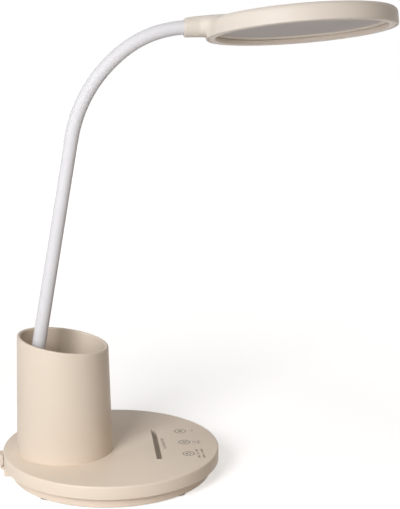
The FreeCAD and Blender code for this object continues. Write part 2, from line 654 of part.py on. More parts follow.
def board(label, low, height, left, right, half):
    """Flat rectangular piece, even about the X axis."""
    body = new_body(label)
    sketch = new_sketch(body, "board_outline", height=low)
    outline(sketch, (left, f"-({half})"), (right, f"-({half})"), (right, half), (left, half))
    pad(body, sketch, "board", height)
    return body


BALLAST_TOP = f"{FLOOR} + ballast_height"
board("battery_tape", BALLAST_TOP, "tape_height", "-cell_back - cell_long / 2 + tape_inset",
      "-cell_back + cell_long / 2 - tape_inset", "cell_wide / 2 - tape_inset")
battery = board("battery", f"{BALLAST_TOP} + tape_height", "cell_height",
                "-cell_back - cell_long / 2", "-cell_back + cell_long / 2", "cell_wide / 2")
touch_board = board("touch_board", TOUCH_BOARD, "board_thick",
                    "touch_ahead - touch_board_wide / 2", "touch_ahead + touch_board_wide / 2",
                    "touch_board_long / 2")
pocket(touch_board, circles(touch_board, "board_hole_outline", TOUCH_BOARD,
                            "board_screw + screw_gap", TOUCH_POSTS),
       "board_holes", "board_thick", up=True)
main_board = board("main_board", MAIN_BOARD, "board_thick", "-main_board_back",
                   "-main_board_back + main_board_long", "main_board_wide / 2")
pocket(main_board, circles(main_board, "board_hole_outline", MAIN_BOARD,
                           "board_screw + screw_gap", MAIN_POSTS),
       "board_holes", "board_thick", up=True)
for number, side in enumerate(("-touch_pitch", "0", "touch_pitch"), start=1):
    foam = new_body(f"touch_pad_{number}")
    pad(foam, circles(foam, "foam_outline", f"{TOUCH_BOARD} + board_thick", "pad_radius",
                      [("touch_ahead", side)]), "foam", "pad_height")

socket = new_body("charging_socket")
shell = new_sketch(socket, "shell_outline", "YZ_Plane", "-socket_face")
box_outline(shell, "0", "port_height", "socket_wide", "socket_tall")
pad(socket, shell, "shell", "socket_long")
mouth = new_sketch(socket, "mouth_outline", "YZ_Plane", "-socket_face")
box_outline(mouth, "0", "port_height", "socket_wide - 2 * socket_wall",
            "socket_tall - 2 * socket_wall")
pocket(socket, mouth, "mouth", "socket_long - socket_back", up=True)
tongue = new_sketch(socket, "tongue_outline", "YZ_Plane", "-socket_face + tongue_sunk")
box_outline(tongue, "0", "port_height", "socket_wide - 2 * tongue_inset", "tongue_thick")
pad(socket, tongue, "tongue", "socket_long - tongue_sunk")

# ---------------------------------------------------------------- the port flap
flap = new_body("port_flap")
plate = new_sketch(flap, "plate_outline", height="flap_bottom")
NEAR = "base_radius + flap_gap"
FAR = f"{NEAR} + flap_thick"
HALF = "flap_wide / 2"
outline(plate, (f"-sqrt(({NEAR})^2 - ({HALF})^2)", HALF, NEAR),
        (f"-sqrt(({NEAR})^2 - ({HALF})^2)", f"-{HALF}"),
        (f"-sqrt(({FAR})^2 - ({HALF})^2)", f"-{HALF}", f"-({FAR})"),
        (f"-sqrt(({FAR})^2 - ({HALF})^2)", HALF))
pad(flap, plate, "plate", "flap_top - flap_bottom")
knuckle = new_sketch(flap, "knuckle_outline", "XZ_Plane")
outline(knuckle, ("-(hinge_back - knuckle_radius)", "hinge_height"),
        ("-(hinge_back - knuckle_radius)", "flap_bottom + knuckle_root"),
        ("-(hinge_back + knuckle_radius)", "flap_bottom + knuckle_root"),
        ("-(hinge_back + knuckle_radius)", "hinge_height", "knuckle_radius"))
pad(flap, knuckle, "knuckle", "knuckle_wide", both=True)
bore = new_sketch(flap, "flap_bore_outline", "XZ_Plane")
ring(bore, "-hinge_back", "hinge_height", "hinge_pin + screw_gap")
pocket(flap, bore, "flap_bore", "flap_wide", both=True)
plug = new_sketch(flap, "plug_outline", "YZ_Plane", f"-({NEAR}) - flap_thick / 2")
box_outline(plug, "0", "port_height", "plug_wide", "plug_tall")
pad(flap, plug, "plug", "flap_thick / 2 + flap_gap + plug_deep")
pin = new_body("hinge_pin")
pin_outline = new_sketch(pin, "pin_outline", "XZ_Plane")
ring(pin_outline, "-hinge_back", "hinge_height", "hinge_pin")
pad(pin, pin_outline, "rod", "flap_wide - 2 * seam_gap", both=True)

# --------------------------------------------------------------------- the cup
cup = new_body("pen_cup")
CUP_TOP = "cup_height + mouth_fall * cup_low_radius + overrun"
TAPER = "(cup_low_radius - cup_high_radius) / cup_height"
turn(cup, "beaker",
     ("0", "0"), ("cup_low_radius", "0"), (f"cup_low_radius - {TAPER} * ({CUP_TOP})", CUP_TOP),
     (f"cup_low_radius - cup_wall - {TAPER} * ({CUP_TOP})", CUP_TOP),
     (f"cup_low_radius - cup_wall - {TAPER} * cup_floor", "cup_floor"), ("0", "cup_floor"))
above = new_sketch(cup, "mouth_outline", "XZ_Plane")
CLEAR_OF_CUP = "cup_low_radius + overrun"
outline(above, (f"-({CLEAR_OF_CUP})", f"cup_height + mouth_fall * ({CLEAR_OF_CUP})"),
        (CLEAR_OF_CUP, f"cup_height - mouth_fall * ({CLEAR_OF_CUP})"),
        (CLEAR_OF_CUP, f"{CUP_TOP} + overrun"), (f"-({CLEAR_OF_CUP})", f"{CUP_TOP} + overrun"))
pocket(cup, above, "mouth", f"2 * ({CLEAR_OF_CUP})", both=True)
round_off(cup, "lip", "lip_round",
          lambda edge: all(abs(point.z - mm("cup_height") + mm("mouth_fall") * point.x) < 0.01
                           for point in edge.discretize(5)))
pad(cup, circles(cup, "cup_peg_outline", "0", "peg_radius",
                 [("0", "cup_peg_out"), ("0", "-cup_peg_out")]),
    "cup_pegs", "shell_wall + peg_proud", down=True)
pocket(cup, circles(cup, "cup_hole_outline", "cup_floor", "thread_radius + screw_gap",
                    [("cup_back - neck_foot", "0")]), "cup_hole", "cup_floor")
cup.Placement = Placement(Vector(-mm("cup_back"), 0, mm("base_height")), Rotation())

# ---------------------------------------------------- the foot of the neck
FERRULE_LOW = "base_height + cup_floor"
FERRULE_TOP = f"{FERRULE_LOW} + flange_height"
ferrule = new_body("neck_ferrule")
turn(ferrule, "ferrule",
     ("core_bore", "thread_end"), ("thread_radius", "thread_end"),
     ("thread_radius", FERRULE_LOW), ("flange_radius", FERRULE_LOW),
     ("flange_radius", FERRULE_TOP), ("core_radius + core_gap", FERRULE_TOP),
     ("core_radius + core_gap", f"{FERRULE_TOP} - core_grip"),
     ("core_bore", f"{FERRULE_TOP} - core_grip"))
washer = new_body("neck_washer")
turn(washer, "washer",
     ("thread_radius + screw_gap", f"{ROOF} - washer_height"),
     ("washer_radius", f"{ROOF} - washer_height"), ("washer_radius", ROOF),
     ("thread_radius + screw_gap", ROOF))
nut = new_body("neck_nut")
NUT_TOP = f"{ROOF} - washer_height"
flats = new_sketch(nut, "nut_outline", height=f"{NUT_TOP} - nut_height")
outline(flats, *[polar("nut_width / sqrt(3)", str(angle)) for angle in range(0, 360, 60)])
ring(flats, "0", "0", "thread_radius + screw_gap")
pad(nut, flats, "nut", "nut_height")
for piece in (ferrule, washer, nut):
    piece.Placement = Placement(Vector(-mm("neck_foot"), 0, 0), Rotation())

# ------------------------------------------------------------------- the neck
# The middle line lies in the XZ plane: it leaves the ferrule upright, leans
# forward inside the cup, runs straight, then turns over in two bends.
SIDEWAYS = Vector(0, 1, 0)


class Way:
    """The neck's middle line, measured from the top of the lower ferrule."""

    def __init__(self, start):
        self.runs = []
        self.point = start
        self.lean = 0.0
        self.length = 0.0

    @staticmethod
    def ahead(lean):
        """Unit vector along the line where it leans by an angle."""
        return Vector(math.sin(lean), 0, math.cos(lean))

    def straight(self, length):
        """Carry the line on straight."""
        self.runs.append((self.length, self.length + length, self.point, self.lean, 0.0))
        self.point = self.point + self.ahead(self.lean) * length
        self.length += length

    def bend(self, radius, lean):
        """Turn the line forward until it leans by an angle."""
        length = radius * (lean - self.lean)
        self.runs.append((self.length, self.length + length, self.point, self.lean, radius))
        middle = self.middle(self.point, self.lean, radius)
        self.point = middle + Vector(-math.cos(lean), 0, math.sin(lean)) * radius
        self.lean = lean
        self.length += length

    @staticmethod
    def middle(point, lean, radius):
        """Middle of a bend that starts at a point."""
        return point + Vector(math.cos(lean), 0, -math.sin(lean)) * radius

    def at(self, distance):
        """Point and lean some way along the line."""
        for low, high, point, lean, radius in self.runs:
            if distance <= high + 1e-9:
                break
        past = distance - low
        if radius == 0.0:
            return point + self.ahead(lean) * past, lean
        turned = lean + past / radius
        middle = self.middle(point, lean, radius)
        return middle + Vector(-math.cos(turned), 0, math.sin(turned)) * radius, turned

    def tube(self, begin, end, outer, inner):
        """Tube that follows the line from one distance to another."""
        lengths = []
        for low, high, start, lean, radius in self.runs:
            first, last = max(low, begin), min(high, end)
            if last - first < 1e-6:
                continue
            point, turned = self.at(first)
            along_line = self.ahead(turned)
            full, hole = [Part.Face(Part.Wire(Part.makeCircle(radius_here, point, along_line)))
                          for radius_here in (outer, inner)]
            face = full.cut(hole).Faces[0]
            if radius == 0.0:
                lengths.append(face.extrude(along_line * (last - first)))
            else:
                middle = self.middle(start, lean, radius)
                angle = math.degrees((last - first) / radius)
                lengths.append(face.revolve(middle, SIDEWAYS, angle))
        whole = lengths[0]
        if len(lengths) > 1:
            whole = whole.multiFuse(lengths[1:])
        return whole.Solids[0]


way = Way(Vector(-mm("neck_foot"), 0, mm(FERRULE_TOP) - mm("core_grip")))
way.straight(mm("core_grip"))
way.bend(mm("first_bend_radius"), math.radians(mm("first_lean")))
way.straight(mm("straight_length"))
way.bend(mm("crown_radius"), math.radians(mm("crown_lean")))
way.bend(mm("tip_radius"), math.radians(90 - mm("head_pitch")))
stem_mouth = way.length
way.straight(mm("mouth_entry") + mm("core_grip"))
sleeve_start = mm("core_grip")
sleeve_end = stem_mouth + mm("mouth_entry")
bends = [mm("core_grip") + mm(name) for name in ("low_bend_at", "sway_bend_at", "crown_bend_at")]
bends.append(stem_mouth - mm("tip_bend_before"))
half_bend = mm("bend_length") / 2
cuts = [cut for bend in bends for cut in (bend - half_bend, bend + half_bend)]
stations = [sleeve_start] + cuts + [sleeve_end]
for index in range(len(stations) - 1):
    begin, end = stations[index], stations[index + 1]
    number = index // 2 + 1
    kind = "bend" if index % 2 else "run"
    core_begin = 0.0 if index == 0 else begin
    core_end = way.length if index == len(stations) - 2 else end
    shaped(f"neck_sleeve_{kind}_{number}",
           way.tube(begin, end, mm("neck_radius"), mm("core_radius + core_gap")))
    shaped(f"neck_core_{kind}_{number}",
           way.tube(core_begin, core_end, mm("core_radius"), mm("core_bore")))

# ------------------------------------------------------------------- the head
# Built in the head's own frame: origin at the middle of the underside, +X away
# from the neck, +Z through the roof.  The stem's axis runs along X.
mouth_point = way.at(stem_mouth)[0]
level = Rotation(SIDEWAYS, -mm("head_pitch")) * Rotation(Vector(1, 0, 0), -mm("head_roll"))
head_place = Placement(
    mouth_point + level.multVec(Vector(mm("stem_reach"), 0, -mm("stem_axis"))), level)
CAVITY = "head_height - head_roof"
INSIDE = "head_radius - head_wall"
MOUTH = "-stem_reach"

shell = new_body("head_shell")
turn(shell, "drum",
     ("0", CAVITY), (INSIDE, CAVITY), (INSIDE, "0"), ("head_radius - head_lower_edge", "0",
                                                      "head_lower_edge"),
     ("head_radius", "head_lower_edge"), ("head_radius", "head_height - head_edge", "head_edge"),
     ("head_radius - head_edge", "head_height"), ("0", "head_height"))
turn(shell, "stem",
     (MOUTH, "0"), (f"{MOUTH} + stem_length + saddle_nose", "0"),
     (f"{MOUTH} + stem_length + saddle_nose", "stem_root_radius - saddle_drop", "saddle_round"),
     (f"{MOUTH} + stem_length", "stem_root_radius"),
     ("-head_radius", "stem_side_radius"), (MOUTH, "stem_mouth_radius"),
     lift="stem_axis", spindle="H_Axis")
turn(shell, "cavity", ("0", "-overrun"), (INSIDE, "-overrun"), (INSIDE, CAVITY), ("0", CAVITY), cut=True)
turn(shell, "stem_bore",
     (f"{MOUTH} - overrun", "0"), (f"{MOUTH} + wire_reach", "0"), (f"{MOUTH} + wire_reach", "wire_bore"),
     (f"{MOUTH} + mouth_entry + swivel_length + fit_gap", "wire_bore"),
     (f"{MOUTH} + mouth_entry + swivel_length + fit_gap", "swivel_radius + swivel_gap"),
     (f"{MOUTH} + mouth_entry", "swivel_radius + swivel_gap"),
     (f"{MOUTH} + mouth_entry", "neck_radius + mouth_gap"),
     (f"{MOUTH} - overrun", "neck_radius + mouth_gap"),
     cut=True, lift="stem_axis", spindle="H_Axis")
turn(shell, "hook_groove",
     (f"{INSIDE} - overrun", "hook_top - hook_height - bezel_gap"),
     (f"{INSIDE} + hook_barb", "hook_top - hook_height - bezel_gap"),
     (f"{INSIDE} + hook_barb", "hook_top + bezel_gap"), (f"{INSIDE} - overrun", "hook_top + bezel_gap"),
     cut=True)
pad(shell, circles(shell, "rib_outline", f"{CAVITY} - rib_proud", "rib_radius",
                   [polar("rib_circle", str(angle)) for angle in THIRDS]), "ribs", "rib_proud")
STEM_PIN = f"{MOUTH} + mouth_entry + groove_at + groove_width / 2"
pin_hole = new_sketch(shell, "pin_hole_outline", "XZ_Plane", "-stem_mouth_radius - overrun")
ring(pin_hole, STEM_PIN, "stem_axis", "stem_pin_radius + screw_gap")
pocket(shell, pin_hole, "pin_hole", "stem_mouth_radius + overrun", up=True)

bush = new_body("swivel_bush")
BUSH = f"{MOUTH} + mouth_entry"
turn(bush, "bush",
     (BUSH, "core_radius + core_gap"), (BUSH, "swivel_radius"),
     (f"{BUSH} + groove_at", "swivel_radius"), (f"{BUSH} + groove_at", "swivel_groove"),
     (f"{BUSH} + groove_at + groove_width", "swivel_groove"),
     (f"{BUSH} + groove_at + groove_width", "swivel_radius"),
     (f"{BUSH} + swivel_length", "swivel_radius"), (f"{BUSH} + swivel_length", "core_bore"),
     (f"{BUSH} + core_grip", "core_bore"), (f"{BUSH} + core_grip", "core_radius + core_gap"),
     lift="stem_axis", spindle="H_Axis")
stem_pin = new_body("stem_pin")
rod = new_sketch(stem_pin, "rod_outline", "XZ_Plane", "-(swivel_groove + fit_gap)")
ring(rod, STEM_PIN, "stem_axis", "stem_pin_radius")
pad(stem_pin, rod, "rod", "stem_mouth_radius - stem_pin_sunk - swivel_groove - fit_gap",
    down=True)

bezel = new_body("head_bezel")
RIM = f"{INSIDE} - bezel_gap"
turn(bezel, "ring",
     ("head_radius - lip_width", "0"), (RIM, "0"), (RIM, "bezel_plate"),
     ("head_radius - lip_width + bezel_wall", "bezel_plate"),
     ("head_radius - lip_width + bezel_wall", "lip_recess"),
     ("head_radius - lip_width + shadow_deep", "lip_recess"),
     ("head_radius - lip_width + shadow_deep", "shadow_low"),
     ("head_radius - lip_width", "shadow_low"))
hook = turn(bezel, "hook",
            (f"{RIM} - hook_wall", "bezel_plate"), (RIM, "bezel_plate"),
            (RIM, "hook_top - hook_height"), (f"{RIM} + hook_barb", "hook_top - hook_height"),
            (RIM, "hook_top"), (f"{RIM} - hook_wall", "hook_top"), angle="hook_arc")
around(bezel, hook, "hooks", mm("hook_count"))
diffuser = drum("diffuser", "panel_radius", "lip_recess", "panel_thick")
PANEL_RIM = "head_radius - lip_width + shadow_deep - bezel_gap"
turn(diffuser, "raised_rim",
     (f"{PANEL_RIM} - panel_rim_wide", "lip_recess - panel_rim_drop"),
     (PANEL_RIM, "lip_recess - panel_rim_drop"), (PANEL_RIM, "lip_recess + panel_thick / 2"),
     (f"{PANEL_RIM} - panel_rim_wide", "lip_recess + panel_thick / 2"))
GUIDE = "lip_recess + panel_thick"
drum("light_guide", "guide_radius", GUIDE, "guide_thick")
drum("reflector_sheet", "guide_radius", f"{GUIDE} + guide_thick", "sheet_thick")
drum("back_plate", "panel_radius", f"{GUIDE} + guide_thick + sheet_thick", "plate_thick")
strip = new_body("light_strip")
turn(strip, "strip",
     ("strip_radius - strip_thick", GUIDE), ("strip_radius", GUIDE),
     ("strip_radius", f"{GUIDE} + guide_thick"),
     ("strip_radius - strip_thick", f"{GUIDE} + guide_thick"))
light = new_sketch(strip, "light_outline", "YZ_Plane", "strip_radius - strip_thick - led_deep")
box_outline(light, "0", f"{GUIDE} + guide_thick / 2", "led_wide", "led_tall")
around(strip, pad(strip, light, "light", "led_deep + strip_thick / 2"), "lights",
       mm("led_count"))
HEAD = ("head_shell", "swivel_bush", "stem_pin", "head_bezel", "diffuser", "light_guide",
        "reflector_sheet", "back_plate", "light_strip")
for piece in PIECES:
    if piece.Label in HEAD:
        piece.Placement = head_place
doc.recompute()

# -------------------------------------------------------------- check and write
for thing in doc.Objects:
    if "Invalid" in thing.State or "Error" in thing.State:
        raise ValueError(f"{thing.Label} did not build")
os.makedirs("parts", exist_ok=True)
for piece in PIECES:
    if piece.Shape.isNull() or not piece.Shape.isValid():
        raise ValueError(f"{piece.Label} has no sound shape")
    piece.Shape.exportStep(f"parts/{piece.Label}.step")
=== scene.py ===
"""Gooseneck desk lamp with a pen cup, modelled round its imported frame.

Sizes are millimetres in the fields below and metres in Blender.  The origin is
on the desk under the centre of the base, +X runs from the cup towards the
reader and +Z is up.
"""
import logging
import math
from dataclasses import dataclass
from enum import Enum
from typing import Callable, Sequence

import bpy
from mathutils import Matrix, Vector

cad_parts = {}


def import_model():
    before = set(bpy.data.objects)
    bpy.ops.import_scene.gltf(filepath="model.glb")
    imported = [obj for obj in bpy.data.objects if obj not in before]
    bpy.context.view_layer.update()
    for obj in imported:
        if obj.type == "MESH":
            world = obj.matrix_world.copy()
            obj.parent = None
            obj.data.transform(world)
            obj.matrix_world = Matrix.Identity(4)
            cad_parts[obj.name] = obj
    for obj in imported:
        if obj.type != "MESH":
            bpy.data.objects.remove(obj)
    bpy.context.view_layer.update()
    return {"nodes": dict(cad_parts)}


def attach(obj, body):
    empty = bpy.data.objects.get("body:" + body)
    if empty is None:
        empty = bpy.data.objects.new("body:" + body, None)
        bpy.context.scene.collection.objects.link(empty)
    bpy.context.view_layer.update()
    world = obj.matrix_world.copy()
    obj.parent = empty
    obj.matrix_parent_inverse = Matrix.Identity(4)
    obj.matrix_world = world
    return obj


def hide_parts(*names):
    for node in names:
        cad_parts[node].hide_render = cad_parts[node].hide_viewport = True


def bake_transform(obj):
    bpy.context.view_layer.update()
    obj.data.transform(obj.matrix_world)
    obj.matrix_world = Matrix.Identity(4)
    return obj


MM = 0.001
LOG = logging.getLogger("lamp")
Pair = tuple[float, float]
Triple = tuple[float, float, float]


# --------------------------------------------------------------------- finishes
def linear(colour: str) -> tuple[float, float, float, float]:
    """Turn an sRGB hex colour into the linear values a shader takes.

    Args:
        colour: six hex digits.

    Returns:
        Red, green, blue and a full alpha.
    """
    parts = [int(colour[i:i + 2], 16) / 255 for i in (0, 2, 4)]
    red, green, blue = [p / 12.92 if p <= 0.04045 else ((p + 0.055) / 1.055) ** 2.4
                        for p in parts]
    return red, green, blue, 1.0


def add_node(tree: bpy.types.NodeTree, kind: str, settings: dict | None = None,
             values: dict | None = None, links: dict | None = None) -> bpy.types.Node:
    """Add one shader node with its settings, socket values and links.

    Args:
        tree: node tree that gets the node.
        kind: Blender's name for the node.
        settings: attributes of the node.
        values: socket values, by socket name or number.
        links: output sockets to join to its inputs, by name or number.

    Returns:
        The new node.
    """
    node = tree.nodes.new(kind)
    for name, value in (settings or {}).items():
        setattr(node, name, value)
    for name, value in (values or {}).items():
        node.inputs[name].default_value = value
    for name, socket in (links or {}).items():
        tree.links.new(socket, node.inputs[name])
    return node


def fresh(name: str) -> tuple[bpy.types.Material, bpy.types.NodeTree, bpy.types.NodeSocket]:
    """Start an empty material.

    Args:
        name: the finish's name.

    Returns:
        The material, its node tree and its surface socket.
    """
    material = bpy.data.materials.new(name)
    material.use_nodes = True
    tree = material.node_tree
    tree.nodes.clear()
    output = add_node(tree, "ShaderNodeOutputMaterial")
    return material, tree, output.inputs["Surface"]


def tinted(tree: bpy.types.NodeTree, colour: str, shade: str,
           factor: bpy.types.NodeSocket) -> bpy.types.NodeSocket:
    """Mix a finish's two colours.

    Args:
        tree: node tree of the material.
        colour: one sRGB hex colour.
        shade: the other.
        factor: socket that says how much of the second.

    Returns:
        The mixed colour.
    """
    mix = add_node(tree, "ShaderNodeMix", {"data_type": "RGBA"},
                   {6: linear(colour), 7: linear(shade)}, {0: factor})
    return mix.outputs[2]


def bumped(tree: bpy.types.NodeTree, strength: float, depth: float,
           height: bpy.types.NodeSocket) -> bpy.types.NodeSocket:
    """Tilt the surface by a height.

    Args:
        tree: node tree of the material.
        strength: share of the effect.
        depth: height of the relief in millimetres.
        height: socket with the relief, 0 to 1.

    Returns:
        The tilted normal.
    """
    bump = add_node(tree, "ShaderNodeBump", None, {"Strength": strength, "Distance": depth * MM},
                    {"Height": height})
    return bump.outputs["Normal"]


@dataclass(frozen=True)
class Moulded:
    """Injection-moulded or cast surface: even colour, fine grain, soft gloss."""

    name: str
    colour: str
    shade: str
    roughness: float
    ior: float = 1.5
    level: float = 0.3
    grain: float = 0.35
    depth: float = 0.02
    drift: float = 45.0
    sheen: float = 0.0
    metallic: float = 0.0
    alpha: float = 1.0

    def make(self) -> bpy.types.Material:
        """Build the material.

        Returns:
            A material with a slow colour drift, a spread of gloss and the grain
            that the tool's eroded face leaves.
        """
        material, tree, surface = fresh(self.name)
        place = add_node(tree, "ShaderNodeTexCoord").outputs["Object"]
        slow = add_node(tree, "ShaderNodeTexNoise",
                        values={"Scale": 1 / (self.drift * MM), "Detail": 3.0},
                        links={"Vector": place})
        tint = tinted(tree, self.colour, self.shade, slow.outputs["Fac"])
        gloss = add_node(tree, "ShaderNodeMapRange", None,
                         {"To Min": self.roughness - 0.05, "To Max": self.roughness + 0.05},
                         {"Value": slow.outputs["Fac"]})
        fine = add_node(tree, "ShaderNodeTexNoise",
                        values={"Scale": 1 / (self.grain * MM), "Detail": 2.0},
                        links={"Vector": place})
        bump = bumped(tree, 0.35, self.depth, fine.outputs["Fac"])
        shader = add_node(tree, "ShaderNodeBsdfPrincipled", None,
                          {"IOR": self.ior, "Specular IOR Level": self.level,
                           "Metallic": self.metallic, "Sheen Weight": self.sheen,
                           "Alpha": self.alpha},
                          {"Base Color": tint, "Roughness": gloss.outputs["Result"],
                           "Normal": bump})
        tree.links.new(shader.outputs["BSDF"], surface)
        return material


@dataclass(frozen=True)
class Turned:
    """Metal worked on a lathe or rolled: fine lines round or along the piece."""

    name: str
    colour: str
    shade: str
    roughness: float
    pitch: float = 0.25

    def make(self) -> bpy.types.Material:
        """Build the material.

        Returns:
            A metal with lines across the Z axis: tool lines, and on the wound wire painted light
                and shade of its turns.
        """
        material, tree, surface = fresh(self.name)
        place = add_node(tree, "ShaderNodeTexCoord").outputs["Object"]
        lines = add_node(tree, "ShaderNodeTexWave", {"bands_direction": "Z"},
                         {"Scale": 1 / (self.pitch * 20 * MM), "Distortion": 1.5},
                         {"Vector": place})
        # the lines' two colours: a tool line's tone, and on the wound wire painted light and
        # shade
        tint = tinted(tree, self.colour, self.shade, lines.outputs["Fac"])
        bump = bumped(tree, 0.2, 0.02, lines.outputs["Fac"])
        shader = add_node(tree, "ShaderNodeBsdfPrincipled", None,
                          {"Metallic": 1.0, "Roughness": self.roughness},
                          {"Base Color": tint, "Normal": bump})
        tree.links.new(shader.outputs["BSDF"], surface)
        return material


class Finish(Enum):
    """Every finish on the lamp, by what the real one is."""

    # ABS from a spark-eroded tool: a warm cream with a soft, even gloss
    BASE_ABS = Moulded("Base_ABS_eroded", "EEE0D0", "EADBCA", 0.46)
    CUP_ABS = Moulded("Cup_ABS_eroded", "E3D6C7", "DFD1C1", 0.46)
    UNDER_ABS = Moulded("Under_ABS_eroded", "F1E2D2", "ECDBCB", 0.5)
    HEAD_ABS = Moulded("Head_ABS_satin", "DFD7CD", "DCD2C8", 0.46, level=0.25, depth=0.012)
    # the bezel: its cream painted lighter, near white, standing in for light on its shaded inner
    # wall
    BEZEL_PAINTED_LIGHT = Moulded("Bezel_ABS_painted_light", "F7ECE0", "F3E7DB", 0.42, depth=0.012)
    # extruded silicone: cooler white, matt, with the dusty look of its soft skin
    SLEEVE = Moulded("Sleeve_silicone_extruded", "E0E0E4", "DBDBE0", 0.55, ior=1.41,
                     grain=0.6, depth=0.02, sheen=0.15)
    # painted light on the panel's cove and rim: milkier and lighter than the opal face
    PANEL_RIM_PAINTED_LIGHT = Moulded("Panel_rim_painted_light", "F6EEE4", "F2E9DE", 0.5, ior=1.49)
    # painted shade in the phone slot: pale, quite matt, greyer and a little darker than the cover
    SLOT_PAINTED_SHADE = Moulded("Slot_painted_shade", "E2DAD1", "DBD2C8", 0.75, level=0.2)
    # moulded silicone: the cover's cream again, duller and a little dusty
    FLAP = Moulded("Flap_silicone_moulded", "E4D8CB", "DFD2C4", 0.62, ior=1.41, sheen=0.1)
    # moulded rubber: a dull taupe with no highlight
    FOOT = Moulded("Foot_rubber_moulded", "A89E93", "A0968B", 0.75, ior=1.52, grain=0.8)
    # opal acrylic: the face that spreads the light, here unlit
    OPAL = Moulded("Opal_acrylic_etched", "E0DCDC", "DBD7D7", 0.7, ior=1.49, level=0.2, grain=0.9,
                   depth=0.005)
    # pad-print ink: thin, flat grey-brown
    INK = Moulded("Pad_print_ink", "57504A", "5F5750", 0.5, grain=0.2, depth=0.003)
    # polished acrylic, white film and flexible board: the pale stack behind the panel
    CLEAR = Moulded("Guide_acrylic_polished", "EFF2F3", "EAEEF0", 0.12, ior=1.49)
    FILM = Moulded("Reflector_film_white", "F4F4F2", "EFEFED", 0.5)
    STRIP = Moulded("Flexible_board_white", "EDE8DA", "E6E0D0", 0.45)
    # solder mask: green with a soft shine
    BOARD = Moulded("Board_solder_mask", "1E5A3A", "1A5033", 0.35, grain=1.2)
    # embossed foil: silvery and dimpled
    FOIL = Moulded("Battery_foil_embossed", "C4C6CA", "BABCC1", 0.32, grain=1.5, depth=0.05,
                   metallic=0.9)
    # conductive foam: near black and porous
    FOAM = Moulded("Foam_conductive", "2E2D2C", "262524", 0.95, grain=0.7, depth=0.2)
    # metals: bright nickel, wound wire in shade and light, dull zinc, yellow brass, pale sheet
    PLATED = Turned("Steel_nickel_plated", "C9C8C4", "BDBCB8", 0.28)
    WOUND = Turned("Steel_wound_bright", "B5B5B6", "8F8F91", 0.32, pitch=1.6)
    ZINC = Turned("Steel_zinc_plated", "A9ABAF", "9B9DA2", 0.42, pitch=0.8)
    BRASS = Turned("Brass_turned", "C9A85C", "BB9A50", 0.3)
    SHEET_METAL = Turned("Aluminium_rolled", "D0D1D3", "C5C6C9", 0.38, pitch=0.6)


MADE: dict[str, bpy.types.Material] = {}


def made(finish: Finish) -> bpy.types.Material:
    """Make a finish's material the first time it is asked for.

    Args:
        finish: the finish.

    Returns:
        Its material.
    """
    if finish.name not in MADE:
        MADE[finish.name] = finish.value.make()
    return MADE[finish.name]


def dress(piece: bpy.types.Object, finish: Finish) -> None:
    """Give a piece one finish all over."""
    piece.data.materials.clear()
    piece.data.materials.append(made(finish))


def coat(piece: bpy.types.Object, finish: Finish, wanted: Callable[[Vector], bool]) -> None:
    """Give part of a dressed piece a second finish.

    Args:
        piece: the piece.
        finish: the finish of that part.
        wanted: test on a face's middle, in metres.
    """
    piece.data.materials.append(made(finish))
    for face in piece.data.polygons:
        if wanted(face.center):
            face.material_index = len(piece.data.materials) - 1


# ------------------------------------------------------------------ the workshop
def rounded(corners: Sequence[tuple], steps: int = 5) -> list[Pair]:
    """Round the corners of an outline.

    Args:
        corners: (across, up) or (across, up, radius) for each corner.
        steps: flats on each rounding.

    Returns:
        The outline with its roundings as points.
    """
    outline: list[Pair] = []
    for i, corner in enumerate(corners):
        here = Vector(corner[:2])
        if len(corner) == 2 or i in (0, len(corners) - 1):
            outline.append((here.x, here.y))
            continue
        back = (Vector(corners[i - 1][:2]) - here).normalized()
        forth = (Vector(corners[i + 1][:2]) - here).normalized()
        half = back.angle(forth) / 2
        reach = corner[2] / math.tan(half)
        middle = here + (back + forth).normalized() * (corner[2] / math.sin(half))
        start = here + back * reach - middle
        stop = here + forth * reach - middle
        sweep = start.angle_signed(stop)
        for step in range(steps + 1):
            spoke = Matrix.Rotation(-sweep * step / steps, 2) @ start
            outline.append((middle.x + spoke.x, middle.y + spoke.y))
    return outline


def clear() -> None:
    """Leave edit mode and deselect every object."""
    if bpy.context.object and bpy.context.object.mode != "OBJECT":
        bpy.ops.object.mode_set(mode="OBJECT")
    bpy.ops.object.select_all(action="DESELECT")


def choose(piece: bpy.types.Object) -> None:
    """Select one piece, and nothing else, in object mode.

    Args:
        piece: the piece.
    """
    clear()
    bpy.context.view_layer.objects.active = piece
    piece.select_set(True)


def named(name: str) -> bpy.types.Object:
    """Name the object that was just added.

    Args:
        name: name of the piece.

    Returns:
        The piece.
    """
    piece = bpy.context.object
    piece.name = piece.data.name = name
    return piece


def edit(piece: bpy.types.Object) -> None:
    """Open one piece in edit mode with everything selected.

    Args:
        piece: the piece.
    """
    choose(piece)
    bpy.ops.object.mode_set(mode="EDIT")
    bpy.ops.mesh.select_all(action="SELECT")


def pick(piece: bpy.types.Object, wanted: Callable[[Vector], bool]) -> None:
    """Select the vertices whose place passes a test, then return to edit mode.

    Args:
        piece: the piece, in edit mode.
        wanted: test on a vertex's place, in metres.
    """
    bpy.ops.mesh.select_mode(type="VERT")
    bpy.ops.mesh.select_all(action="DESELECT")
    bpy.ops.object.mode_set(mode="OBJECT")
    for vertex in piece.data.vertices:
        vertex.select = wanted(vertex.co)
    bpy.ops.object.mode_set(mode="EDIT")


def settle(piece: bpy.types.Object, place: Matrix | None = None, angle: float = 35.0) -> None:
    """Turn the normals out, put the piece's place in its mesh and smooth it.

    Args:
        piece: the piece.
        place: where its own frame goes, if not at the origin.
        angle: sharpest fold that is still shaded smooth, in degrees.
    """
    edit(piece)
    bpy.ops.mesh.normals_make_consistent(inside=False)
    choose(piece)
    if place is not None:
        piece.matrix_world = place @ piece.matrix_world
    bpy.ops.object.transform_apply(location=True, rotation=True, scale=True)
    bpy.ops.object.shade_smooth_by_angle(angle=math.radians(angle))


